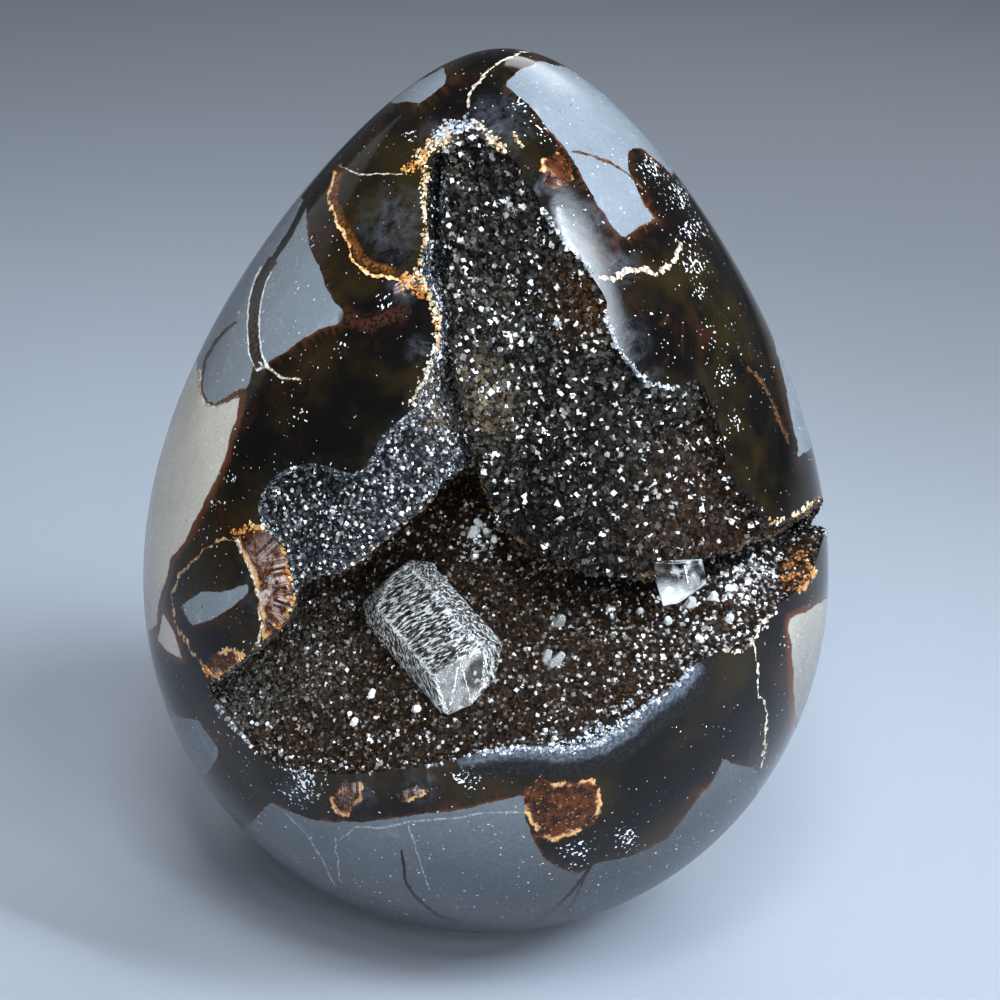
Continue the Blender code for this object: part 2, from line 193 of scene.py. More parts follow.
# Milky blue places in the calcite by the hollow, as x, y and reach on the sheet
# The spots along the right rim also stand in for its blue-white highlight: painted highlight
HAZE_AND_SHEEN_SPOTS = [
    (500, 124, 40), (545, 188, 22), (585, 235, 42), (618, 265, 26), (622, 345, 34),
    (650, 385, 22), (398, 225, 48), (405, 285, 24), (440, 138, 24), (420, 350, 18),
    (300, 500, 22), (225, 690, 26), (290, 582, 62), (300, 786, 24), (360, 790, 24),
    (420, 784, 24),
]
# Places full of fine white painted glints, the same way
PAINTED_GLINT_SPOTS = [
    (655, 170, 20), (676, 195, 22), (688, 230, 20), (694, 265, 18), (700, 292, 12),
    (725, 375, 16), (735, 420, 16), (522, 108, 18), (545, 130, 20), (410, 135, 12),
    (340, 345, 12), (575, 850, 22), (625, 838, 22), (300, 415, 12), (232, 480, 12),
    (215, 505, 10), (385, 300, 14), (300, 790, 26), (470, 780, 22), (230, 660, 20),
]
# The dark slit between the right block and the floor, along its lower side
SLIT_LINE = [
    (555, 560), (584, 584), (611, 592), (657, 594), (705, 578), (730, 568), (780, 545),
    (820, 525),
]

DARK = ((0.002, 0.002, 0.002), (0.012, 0.009, 0.007))
SPECKLED = ((0.002, 0.002, 0.002), (0.045, 0.025, 0.016))
RUST = ((0.020, 0.008, 0.003), (0.090, 0.045, 0.020))
RED = ((0.008, 0.004, 0.003), (0.036, 0.013, 0.009))
AMBER = ((0.026, 0.009, 0.003), (0.160, 0.060, 0.013))
GOLDEN = ((0.42, 0.15, 0.02), (0.82, 0.60, 0.34))
OLD_GOLD = ((0.10, 0.045, 0.015), (0.48, 0.33, 0.18))
PALE = ((0.16, 0.11, 0.07), (0.72, 0.64, 0.54))
WHITE = ((0.34, 0.37, 0.40), (0.80, 0.84, 0.86))
FAINT = ((0.10, 0.12, 0.14), (0.27, 0.30, 0.33))
MILKY = ((0.030, 0.037, 0.049), (0.085, 0.100, 0.125))
PAINTED_LIP_SHADE = ((0.004, 0.004, 0.005), (0.010, 0.010, 0.011))


def line(name, points, width, colours, ragged=0.5, soft=0.0):
    return {"name": name, "points": points, "width": width, "colours": colours,
            "ragged": ragged, "soft": soft}


# Thin veins and seams on the polished face, half widths and soft edges in millimetres
LINES = [
    line("vein_top", [(313, 187), (305, 203), (291, 232), (273, 259), (262, 277)],
         0.52, DARK, 0.15),
    line("vein_edge", [(266, 270), (260, 281), (255, 300), (253, 325), (255, 352),
                       (262, 368)], 1.22, WHITE, 0.1),
    line("vein", [(273, 259), (262, 277), (255, 300), (253, 325), (255, 352),
                  (260, 367)], 0.94, SPECKLED, 0.1),
    line("left_loop_edge", [(201, 370), (200, 391), (205, 403), (216, 406)],
         0.42, PALE, 0.3),
    line("left_loop", [(237, 321), (226, 329), (216, 341), (207, 357), (202, 375),
                       (202, 391), (207, 402), (216, 405), (230, 397), (244, 388)],
         0.22, RUST, 0.5),
    line("top_crack", [(573, 151), (592, 155), (612, 163), (631, 175), (642, 190)],
         0.22, RUST, 0.7),
    line("apex_seam", [(530, 50), (522, 51), (502, 61), (483, 76), (472, 91), (468, 106)],
         0.20, PALE, 1.2),
    line("left_top_seam", [(340, 166), (357, 174), (402, 174)], 0.10, PALE, 1.0),
    line("left_curve_glow", [(337, 178), (333, 198), (340, 219), (351, 240), (360, 256),
                             (371, 266), (386, 270)], 0.2, AMBER, 0.6, 1.0),
    line("left_red", [(352, 320), (368, 324), (384, 320), (398, 314)], 0.5, RED, 1.2, 1.6),
    line("left_curve", [(333, 172), (328, 198), (335, 220), (346, 242), (354, 261),
                        (367, 274), (383, 277), (402, 281)], 0.24, GOLDEN, 1.6),
    line("vein_tail", [(259, 362), (268, 369), (285, 378), (300, 380)], 0.18, PALE, 0.9),
    line("right_seam", [(600, 278), (615, 278), (629, 270), (645, 269), (657, 273),
                        (668, 267), (674, 259), (680, 243)], 0.42, PALE, 1.3),
    line("right_brown", [(747, 368), (762, 381), (775, 410), (789, 444)], 0.3, RUST, 1.0),
    line("low_right_seam", [(749, 640), (755, 653), (758, 679), (761, 698), (768, 717),
                            (765, 742), (761, 768)], 0.13, PALE, 1.8),
    line("low_vein_left", [(402, 851), (404, 870), (406, 883), (414, 895), (426, 906),
                           (439, 916), (460, 924)], 0.27, DARK, 0.4),
    line("low_vein_right", [(594, 858), (586, 874), (571, 891), (556, 908), (537, 923)],
         0.30, DARK, 0.4),
    line("low_vein_branch", [(586, 874), (580, 886), (572, 905), (560, 915)],
         0.2, DARK, 0.6),
    line("low_white_a", [(335, 839), (338, 862), (341, 883)], 0.12, FAINT, 0.8),
    line("low_white_b", [(408, 824), (420, 862), (429, 889)], 0.12, FAINT, 0.8),
    line("low_white_c", [(341, 839), (354, 828), (383, 828), (409, 822), (437, 819),
                         (469, 816), (500, 812), (524, 812)], 0.14, FAINT, 0.9),
    line("low_white_d", [(284, 812), (305, 833), (322, 860), (335, 885)],
         0.12, FAINT, 0.9),
    line("rosette_rim", ROSETTE_RIM, 0.18, OLD_GOLD, 1.8),
    line("rosette_seam", ROSETTE_SEAM, 0.20, PALE, 2.0),
    # Painted shade: the lower part of the front lip's bevel, darkened under the milky band
    line("front_lip_foot", [(478, 768), (500, 766), (524, 764), (564, 768), (608, 760),
                            (640, 738), (656, 722), (688, 698), (704, 676)],
         1.0, PAINTED_LIP_SHADE, 0.3, 1.4),
    line("front_lip", [(470, 758), (500, 753), (524, 751), (564, 755), (603, 747),
                       (630, 728), (646, 712), (680, 688), (692, 674)],
         0.5, MILKY, 0.5, 1.5),
]

# Small crystals along the edges of the hollow: the line that they follow on the sheet,
# how far to its sides, their size (both in millimetres) and two tints they vary between
GOLD_TINTS = ((0.36, 0.17, 0.04), (0.82, 0.72, 0.52))
CREAM_TINTS = ((0.22, 0.17, 0.10), (0.74, 0.72, 0.66))
ORANGE_TINTS = ((0.30, 0.07, 0.010), (0.66, 0.34, 0.08))
ICE_TINTS = ((0.08, 0.10, 0.13), (0.66, 0.72, 0.78))
EDGE_ROWS = [
    ([(402, 172), (412, 167), (420, 160), (428, 150)], 1.0, 0.42, ORANGE_TINTS),
    ([(416, 162), (428, 148), (440, 142), (452, 137)], 1.4, 0.45, GOLD_TINTS),
    ([(434, 140), (448, 130), (458, 123), (465, 128), (476, 121)], 1.6, 0.46, ICE_TINTS),
    ([(476, 124), (488, 134), (498, 144)], 0.9, 0.42, CREAM_TINTS),
    ([(489, 138), (497, 146), (505, 150)], 1.0, 0.44, GOLD_TINTS),
    ([(515, 132), (517, 140), (521, 148)], 0.6, 0.42, GOLD_TINTS),
    ([(425, 166), (424, 190), (424, 207), (427, 239), (420, 268)], 0.8, 0.42, GOLD_TINTS),
    ([(404, 286), (411, 280), (420, 270), (427, 288), (438, 318), (437, 346)],
     0.9, 0.42, GOLD_TINTS),
    ([(402, 276), (414, 286), (424, 296)], 1.6, 0.42, ORANGE_TINTS),
    ([(438, 346), (424, 383), (411, 408)], 1.0, 0.42, CREAM_TINTS),
    ([(534, 192), (541, 208), (553, 225), (568, 247), (588, 267), (598, 279)],
     0.5, 0.38, ICE_TINTS),
    ([(604, 305), (606, 320), (617, 346), (628, 363), (647, 383), (684, 390), (700, 382)],
     0.5, 0.38, ICE_TINTS),
    ([(761, 524), (785, 521), (803, 511), (822, 499)], 0.8, 0.46, GOLD_TINTS),
    ([(232, 535), (249, 526), (279, 529), (285, 549), (290, 574), (295, 599), (288, 619),
      (270, 637)], 0.9, 0.38, ORANGE_TINTS),
    ([(250, 525), (281, 530), (287, 549), (293, 574), (297, 599), (289, 621)],
     0.5, 0.36, GOLD_TINTS),
    ([(205, 668), (217, 678), (237, 668), (243, 658)], 0.8, 0.36, ORANGE_TINTS),
    ([(240, 732), (263, 759), (307, 774), (372, 771), (437, 763), (480, 751)],
     0.5, 0.36, ICE_TINTS),
    ([(480, 752), (524, 747), (564, 750), (602, 742), (628, 723), (643, 707), (679, 682),
      (691, 667)], 0.7, 0.44, ICE_TINTS),
    ([(484, 748), (526, 742), (564, 744), (600, 736), (625, 718), (641, 703), (676, 680)],
     1.2, 0.34, ICE_TINTS),
    ([(540, 738), (550, 735), (558, 738)], 1.6, 0.46, ICE_TINTS),
    ([(582, 732), (592, 728), (600, 724)], 1.4, 0.46, ICE_TINTS),
    ([(612, 714), (622, 708), (632, 700)], 1.4, 0.46, ICE_TINTS),
    ([(723, 650), (744, 648), (759, 628), (776, 606)], 0.8, 0.42, CREAM_TINTS),
    ([(797, 591), (806, 580), (816, 570)], 0.6, 0.44, ORANGE_TINTS),
    ([(818, 540), (826, 532), (828, 526)], 0.6, 0.44, ICE_TINTS),
    ([(205, 682), (225, 716), (240, 733)], 0.6, 0.40, ICE_TINTS),
]
EDGE_CRYSTALS_PER_MM = 6.5

# Clear and white crystals that stand alone on the floor: x, y, half length in
# millimetres, slenderness and how white they are
FLOOR_GEMS = [
    (558, 625, 2.1, 0.62, 0.25), (546, 661, 2.0, 0.50, 0.30), (554, 664, 2.5, 0.45, 0.32),
    (372, 695, 1.0, 0.9, 0.9), (417, 710, 1.3, 0.9, 0.9), (354, 724, 1.2, 0.8, 0.9),
    (351, 716, 0.8, 0.9, 0.9), (479, 524, 1.3, 0.8, 0.8), (473, 534, 1.5, 0.8, 0.8),
    (487, 532, 1.2, 0.8, 0.7), (494, 541, 1.0, 0.8, 0.8), (476, 557, 0.9, 0.8, 0.9),
    (690, 606, 1.6, 0.8, 0.6), (712, 600, 1.4, 0.8, 0.6), (731, 590, 1.5, 0.8, 0.7),
    (668, 622, 1.3, 0.8, 0.7), (640, 612, 1.1, 0.8, 0.7), (748, 582, 1.3, 0.8, 0.7),
    (612, 610, 1.0, 0.8, 0.7), (700, 640, 1.2, 0.8, 0.7), (729, 620, 1.2, 0.8, 0.7),
]


# The shape of the egg and of its hollow

def egg_radius(height):
    """The egg's radius at a height above its middle."""
    t = np.clip(np.asarray(height) / EGG_HALF_HEIGHT, -1.0, 1.0)
    return EGG_RADIUS * np.sqrt(1.0 - t * t) * (1.0 + EGG_SLIM * t + EGG_FLATTEN * t * t)


def egg_lean(height):
    """How fast the radius grows with height."""
    return (egg_radius(height + LEAN_STEP) - egg_radius(height - LEAN_STEP)) / (2 * LEAN_STEP)


def egg_depth(x, y, z):
    """How far a point lies inside the polished face, negative outside."""
    height = z - CENTRE_Z
    level = np.clip(height, -TIP_LIMIT * EGG_HALF_HEIGHT, TIP_LIMIT * EGG_HALF_HEIGHT)
    inside = (egg_radius(height) - np.hypot(x, y)) / np.sqrt(1.0 + egg_lean(level) ** 2)
    beyond = EGG_HALF_HEIGHT - np.abs(height)
    return np.minimum(inside, beyond + TIP_MARGIN)


def to_sheet(x, y, z):
    """A point's place on the face sheet, and how near it is along the line of sight."""
    height = z - CENTRE_Z
    rise = y * math.sin(SIGHT_TILT) + height * math.cos(SIGHT_TILT)
    near = -y * math.cos(SIGHT_TILT) + height * math.sin(SIGHT_TILT)
    scale = SIGHT_DISTANCE / (SIGHT_DISTANCE - near) / SHEET_UNIT
    u = x * scale
    v = rise * scale
    sheet_x = SHEET_MIDDLE[0] + u * math.cos(SHEET_ROLL) + v * math.sin(SHEET_ROLL)
    sheet_y = SHEET_MIDDLE[1] + u * math.sin(SHEET_ROLL) - v * math.cos(SHEET_ROLL)
    return sheet_x, sheet_y, near


def from_sheet(sheet_x, sheet_y, near):
    """The point at a place on the face sheet, at a nearness along the line of sight."""
    right = (sheet_x - SHEET_MIDDLE[0]) * SHEET_UNIT
    up = (SHEET_MIDDLE[1] - sheet_y) * SHEET_UNIT
    u = right * math.cos(SHEET_ROLL) - up * math.sin(SHEET_ROLL)
    v = right * math.sin(SHEET_ROLL) + up * math.cos(SHEET_ROLL)
    shrink = (SIGHT_DISTANCE - near) / SIGHT_DISTANCE
    rise = v * shrink
    y = rise * math.sin(SIGHT_TILT) - near * math.cos(SIGHT_TILT)
    z = rise * math.cos(SIGHT_TILT) + near * math.sin(SIGHT_TILT) + CENTRE_Z
    return u * shrink, y, z


def nearest_on_line(px, py, points):
    """The distance to a line of straight runs and the nearest place on it, in sheet units."""
    best = np.full(np.shape(px), 1e9)
    near_x = np.zeros(np.shape(px))
    near_y = np.zeros(np.shape(px))
    for (ax, ay), (bx, by) in zip(points[:-1], points[1:]):
        run_x, run_y = bx - ax, by - ay
        along = ((px - ax) * run_x + (py - ay) * run_y) / (run_x ** 2 + run_y ** 2)
        along = np.clip(along, 0.0, 1.0)
        qx, qy = ax + along * run_x, ay + along * run_y
        gap = np.hypot(px - qx, py - qy)
        closer = gap < best
        best = np.where(closer, gap, best)
        near_x = np.where(closer, qx, near_x)
        near_y = np.where(closer, qy, near_y)
    return best, near_x, near_y


def line_distance(px, py, points):
    return nearest_on_line(px, py, points)[0]


def outline_distance(px, py, outline):
    """The distance to a closed outline, positive inside it, in sheet units."""
    closed = outline + outline[:1]
    crossings = np.zeros(np.shape(px), dtype=int)
    for (ax, ay), (bx, by) in zip(closed[:-1], closed[1:]):
        if ay == by:
            continue
        between = (py >= min(ay, by)) & (py < max(ay, by))
        crossings += between & (px < ax + (py - ay) * (bx - ax) / (by - ay))
    side = np.where(crossings % 2 == 1, 1.0, -1.0)
    return side * line_distance(px, py, closed)


def line_at(values, points, axis):
    """The other coordinate of a line of points, read at values of one coordinate."""
    known = [point[axis] for point in points]
    wanted = [point[1 - axis] for point in points]
    return np.interp(values, known, wanted)


def ripple(x, y, z, size, seed, waves=10):
    """A smooth bumpy field between about -1 and 1, with bumps of about size."""
    rng = np.random.default_rng(seed)
    total = 0.0
    for _ in range(waves):
        way = rng.normal(size=3)
        way = way / np.linalg.norm(way) * 2 * math.pi / (size * rng.uniform(0.7, 1.6))
        total = total + np.sin(way[0] * x + way[1] * y + way[2] * z + rng.uniform(0, 6.3))
    return total / math.sqrt(waves / 2) / 2


def block_face_depth(px, py):
    """How deep the blocks' crystal faces lie below the polish, at places on the sheet."""
    from_cleft = line_distance(px, py, CLEFT) * SHEET_UNIT
    on_right = px > line_at(py, CLEFT, 1)
    base = np.where(on_right, RIGHT_BLOCK_DEPTH, LEFT_BLOCK_DEPTH)
    spread = np.where(on_right, CLEFT_SPREAD_RIGHT, CLEFT_SPREAD_LEFT)
    slope = np.where(on_right, RIGHT_SLOPE, LEFT_SLOPE)
    depth = base + (CLEFT_DEPTH - base) * np.exp(-((from_cleft / spread) ** 2))
    inside_rim = outline_distance(px, py, RIM) * SHEET_UNIT
    return np.minimum(depth, RIM_STEP + slope * np.maximum(inside_rim, 0.0))


def hollow(x, y, z):
    """How far a point lies inside the hollow, negative in the stone around it."""
    px, py, near = to_sheet(x, y, z)
    depth = egg_depth(x, y, z)
    inside_rim = outline_distance(px, py, RIM) * SHEET_UNIT
    above_edge = (line_at(px, BLOCK_EDGE, 0) - py) * SHEET_UNIT * BLOCK_EDGE_SLANT
    into_block = depth - block_face_depth(px, py)
    over_ceiling = above_edge - CEILING_SLOPE * into_block
    block = np.minimum(into_block, over_ceiling)
    rim_height = line_at(x, FLOOR_RIM, 0)
    floor = CENTRE_Z + rim_height - RIM_STEP + FLOOR_RISE * np.maximum(depth, 0.0)
    in_slit = np.clip((x - SLIT_FROM_X) / SLIT_OPENS_OVER, 0.0, 1.0)
    floor = floor - in_slit * SLIT_FALL * np.maximum(0.0, y - SLIT_FALLS_FROM_Y)
    over_floor = (z - floor) / math.hypot(1.0, FLOOR_RISE)
    space = np.minimum(np.minimum(inside_rim, over_floor), -block)
    space = space - (1 - in_slit) * NARROWS_BY * np.maximum(0.0, y - NARROWS_FROM_Y)
    space = space - in_slit * SLIT_NARROWS_BY * np.maximum(0.0, y - SLIT_NARROWS_FROM_Y)
    back_wall = BACK_WALL_Y + in_slit * (SLIT_END_Y - BACK_WALL_Y)
    return np.minimum(np.minimum(space, back_wall - y), depth + REACH_OUT)


# The height, size and seed of the lumps, and the depths over which they begin
LUMPS = ((0.0007, 0.011, 3), (0.00035, 0.0045, 5))
LUMPS_FROM_DEPTH = 0.0005
LUMPS_OVER = 0.004


def lumpy_hollow(x, y, z):
    """The hollow with the lumps that its crystals grow in, none right at the rim."""
    fade = np.clip((egg_depth(x, y, z) - LUMPS_FROM_DEPTH) / LUMPS_OVER, 0.0, 1.0)
    lumps = sum(high * ripple(x, y, z, size, seed) for high, size, seed in LUMPS)
    return hollow(x, y, z) + fade * lumps


def skin(field, low, high, cell):
    """A closed mesh of quads around the part of a field that is above zero.

    One corner goes in each grid cell that the surface passes through, at the mean of the
    surface's crossings of the cell's edges, and one quad joins the four cells around
    each grid edge that the surface crosses.
    """
    counts = [int(math.ceil((b - a) / cell)) + 1 for a, b in zip(low, high)]
    axes = [a + cell * np.arange(n) for a, n in zip(low, counts)]
    grid = np.meshgrid(*axes, indexing="ij")
    values = field(*grid)
    total = np.zeros([n - 1 for n in counts] + [3])
    hits = np.zeros([n - 1 for n in counts])
    crossings = []
    for axis in range(3):
        first = [slice(None)] * 3
        second = [slice(None)] * 3
        first[axis] = slice(0, -1)
        second[axis] = slice(1, None)
        a, b = values[tuple(first)], values[tuple(second)]
        crossed = (a > 0) != (b > 0)
        share = np.where(crossed, a / np.where(crossed, a - b, 1.0), 0.0)
        point = np.stack([g[tuple(first)] for g in grid], axis=-1)
        point[..., axis] += share * cell
        others = [other for other in range(3) if other != axis]
        for step_a in (0, 1):
            for step_b in (0, 1):
                part = [slice(None)] * 3
                part[others[0]] = slice(step_a, counts[others[0]] - 1 + step_a)
                part[others[1]] = slice(step_b, counts[others[1]] - 1 + step_b)
                mask = crossed[tuple(part)]
                total += np.where(mask[..., None], point[tuple(part)], 0.0)
                hits += mask
        crossings.append((crossed, a > 0))
    used = hits > 0
    index = np.full(hits.shape, -1)
    index[used] = np.arange(used.sum())
    corners = total[used] / hits[used][:, None]
    faces = []
    for axis, (crossed, starts_inside) in enumerate(crossings):
        b, c = [(1, 2), (2, 0), (0, 1)][axis]
        places = np.argwhere(crossed)
        kept = (places[:, b] > 0) & (places[:, c] > 0)
        kept &= (places[:, b] < counts[b] - 1) & (places[:, c] < counts[c] - 1)
        places = places[kept]
        ring = []
        for back_b, back_c in ((1, 1), (0, 1), (0, 0), (1, 0)):
            cells = places.copy()
            cells[:, b] -= back_b
            cells[:, c] -= back_c
            ring.append(index[tuple(cells.T)])
        ring = np.stack(ring, axis=1)
        outward = starts_inside[tuple(places.T)]
        faces.append(np.where(outward[:, None], ring, ring[:, ::-1]))
    return corners, np.concatenate(faces)


# Making objects

def new_object(name, data):
    thing = bpy.data.objects.new(name, data)
    bpy.context.collection.objects.link(thing)
    return thing


def mesh_object(name, corners, faces):
    mesh = bpy.data.meshes.new(name)
    mesh.from_pydata(corners.tolist(), [], faces)
    mesh.update()
    return new_object(name, mesh)


def apply_modifiers(thing):
    graph = bpy.context.evaluated_depsgraph_get()
    result = bpy.data.meshes.new_from_object(thing.evaluated_get(graph))
    thing.modifiers.clear()
    thing.data = result


def remesh(thing, cell):
    step = thing.modifiers.new("Remesh", "REMESH")
    step.mode = "VOXEL"
    step.voxel_size = cell
    apply_modifiers(thing)


def read_vectors(items, key):
    """One vector of each vertex or face, as rows."""
    values = np.zeros(len(items) * 3)
    items.foreach_get(key, values)
    return values.reshape(-1, 3)


def unit(vectors):
    return vectors / np.linalg.norm(vectors, axis=1)[:, None]


def add_number(mesh, name, values):
    layer = mesh.attributes.new(name, "FLOAT", "POINT")
    layer.data.foreach_set("value", np.asarray(values, dtype=np.float32))


def add_vector(mesh, name, a, b, c):
    layer = mesh.attributes.new(name, "FLOAT_VECTOR", "POINT")
    layer.data.foreach_set("vector", np.stack([a, b, c], axis=1).astype(np.float32).ravel())


# Materials

class Shader:
    """A node material that is built from a few kinds of node."""

    def __init__(self, name):
        self.material = bpy.data.materials.new(name)
        self.material.use_nodes = True
        self.tree = self.material.node_tree
        self.surface = self.tree.nodes["Principled BSDF"]

    def node(self, kind, inputs=(), **settings):
        made = self.tree.nodes.new(kind)
        for key, value in settings.items():
            setattr(made, key, value)
        for slot, value in dict(inputs).items():
            self.join(value, made.inputs[slot])
        return made

    def join(self, value, socket):
        if isinstance(value, bpy.types.NodeSocket):
            self.tree.links.new(value, socket)
        elif socket.type == "RGBA" and len(value) == 3:
            socket.default_value = (*value, 1.0)
        else:
            socket.default_value = value

    def set(self, slot, value):
        self.join(value, self.surface.inputs[slot])

    def math(self, operation, a, b=0.0, clamp=False):
        made = self.node("ShaderNodeMath", {0: a, 1: b}, operation=operation, use_clamp=clamp)
        return made.outputs[0]

    def times(self, a, b):
        return self.math("MULTIPLY", a, b)

    def plus(self, a, b):
        return self.math("ADD", a, b)

    def over(self, base, colour, share, strength):
        """A colour laid over another where share is high."""
        return self.mix(self.times(share, strength), base, colour)

    def number(self, name):
        return self.node("ShaderNodeAttribute", attribute_name=name).outputs["Fac"]

    def vector(self, name):
        return self.node("ShaderNodeAttribute", attribute_name=name).outputs["Vector"]

    def place(self):
        return self.node("ShaderNodeTexCoord").outputs["Object"]

    def noise(self, place, size, detail=2.0, roughness=0.5, distortion=0.0):
        """Noise between 0 and 1, with features of about size metres."""
        made = self.node("ShaderNodeTexNoise", {
            "Vector": place, "Scale": 1.0 / size, "Detail": detail,
            "Roughness": roughness, "Distortion": distortion})
        return made.outputs[0]

    def step(self, value, low, high):
        """0 below low, 1 above high, and smooth between."""
        made = self.node("ShaderNodeMapRange", {
            "Value": value, "From Min": low, "From Max": high},
            interpolation_type="SMOOTHSTEP")
        return made.outputs[0]

    def ramp(self, value, low, high, first=0.0, last=1.0):
        made = self.node("ShaderNodeMapRange", {
            "Value": value, "From Min": low, "From Max": high, "To Min": first,
            "To Max": last})
        return made.outputs[0]

    def mix(self, share, first, second):
        made = self.node("ShaderNodeMix", data_type="RGBA")
        for slot, value in ((0, share), (6, first), (7, second)):
            self.join(value, made.inputs[slot])
        return made.outputs[2]

    def mix_number(self, share, first, second):
        made = self.node("ShaderNodeMix", {0: share, 2: first, 3: second}, data_type="FLOAT")
        return made.outputs[0]

    def bump(self, height, strength, distance):
        made = self.node("ShaderNodeBump", {
            "Height": height, "Strength": strength, "Distance": distance})
        self.tree.links.new(made.outputs[0], self.surface.inputs["Normal"])


def polished_material():
    """Polished stone: grey matrix, dark fibrous calcite, orange lumps, veins and seams."""
    look = Shader("polished_septarian")
    place = look.place()
    waver = look.math("SUBTRACT", look.noise(place, 0.0040, 3.0), 0.5)
    rough = look.math("SUBTRACT", look.noise(place, 0.0011, 3.0), 0.5)

    grey_edge = look.plus(look.number("grey"), look.times(waver, 0.9))
    grey_edge = look.plus(grey_edge, look.times(rough, 0.5))
    is_grey = look.step(grey_edge, -0.05, 0.08)
    matrix = matrix_colour(look, place, waver)
    calcite, woolly = calcite_colour(look, place, grey_edge)
    colour = look.mix(is_grey, calcite, matrix)

    bead = look.noise(place, 0.0006, 2.0)
    bead = look.step(bead, 0.36, 0.64)
    for spec in LINES:
        parts = look.node("ShaderNodeSeparateXYZ", {0: look.vector(spec["name"])}).outputs
        shift = look.times(waver, 0.5 + spec["ragged"])
        offset = look.math("ABSOLUTE", look.plus(parts[0], shift))
        swell = look.times(rough, 4 * spec["ragged"] * spec["width"])
        excess = look.math("SUBTRACT", look.math("SUBTRACT", offset, swell), spec["width"])
        core = look.step(excess, 0.09 + spec["soft"], -0.07)
        core = look.times(core, look.step(parts[1], 0.4 + 3 * spec["soft"], 0.0))
        core = look.times(core, look.step(parts[2], 2.9, 2.3))
        colour = look.mix(core, colour, look.mix(bead, *spec["colours"]))
    look.set("Base Color", colour)
    fibrous = look.mix_number(woolly, 0.10, 0.36)
    look.set("Roughness", look.mix_number(is_grey, fibrous, 0.24))
    look.set("Specular IOR Level", 0.25)
    look.bump(look.noise(place, 0.0016, 3.0), 0.04, 0.0004)
    return look.material


def matrix_colour(look, place, waver):
    """Satin grey stone, cream in places, with painted shade low down and towards the right,
    fine pits and bubbles, the white specks among them partly painted glints.
    """
    mottle = look.noise(place, 0.012, 5.0, 0.65)
    grain = look.noise(place, 0.00045, 2.0, 0.7)
    speck = look.noise(place, 0.0007, 1.0)
    matrix = look.mix(mottle, (0.112, 0.135, 0.162), (0.208, 0.238, 0.272))
    cream = look.mix(mottle, (0.35, 0.33, 0.29), (0.60, 0.57, 0.51))
    is_cream = look.step(look.plus(look.number("cream"), waver), -0.3, 0.3)
    matrix = look.mix(is_cream, matrix, cream)
    wisp = look.noise(place, 0.006, 5.0, 0.7, 1.5)
    matrix = look.over(matrix, (0.36, 0.40, 0.44), look.step(wisp, 0.55, 0.72), 0.35)
    # Painted shade: the grey darkens low down and towards the right, where less light falls,
    # and the fine grain adds to it
    parts = look.node("ShaderNodeSeparateXYZ", {0: place}).outputs
    height = look.math("SUBTRACT", parts[2], look.times(parts[0], 0.35))
    painted_shade_and_grain = look.ramp(height, 0.006, 0.080, 0.94, 0.0)
    painted_shade_and_grain = look.plus(painted_shade_and_grain, look.ramp(grain, 0.3, 0.7, 0.0, 0.22))
    matrix = look.mix(painted_shade_and_grain, matrix, (0.020, 0.024, 0.030))
    # White specks, partly painted glints that stand in for light catching fine pits
    matrix = look.mix(look.step(speck, 0.745, 0.77), matrix, (0.72, 0.75, 0.78))
    return look.mix(look.step(speck, 0.245, 0.225), matrix, (0.05, 0.05, 0.055))


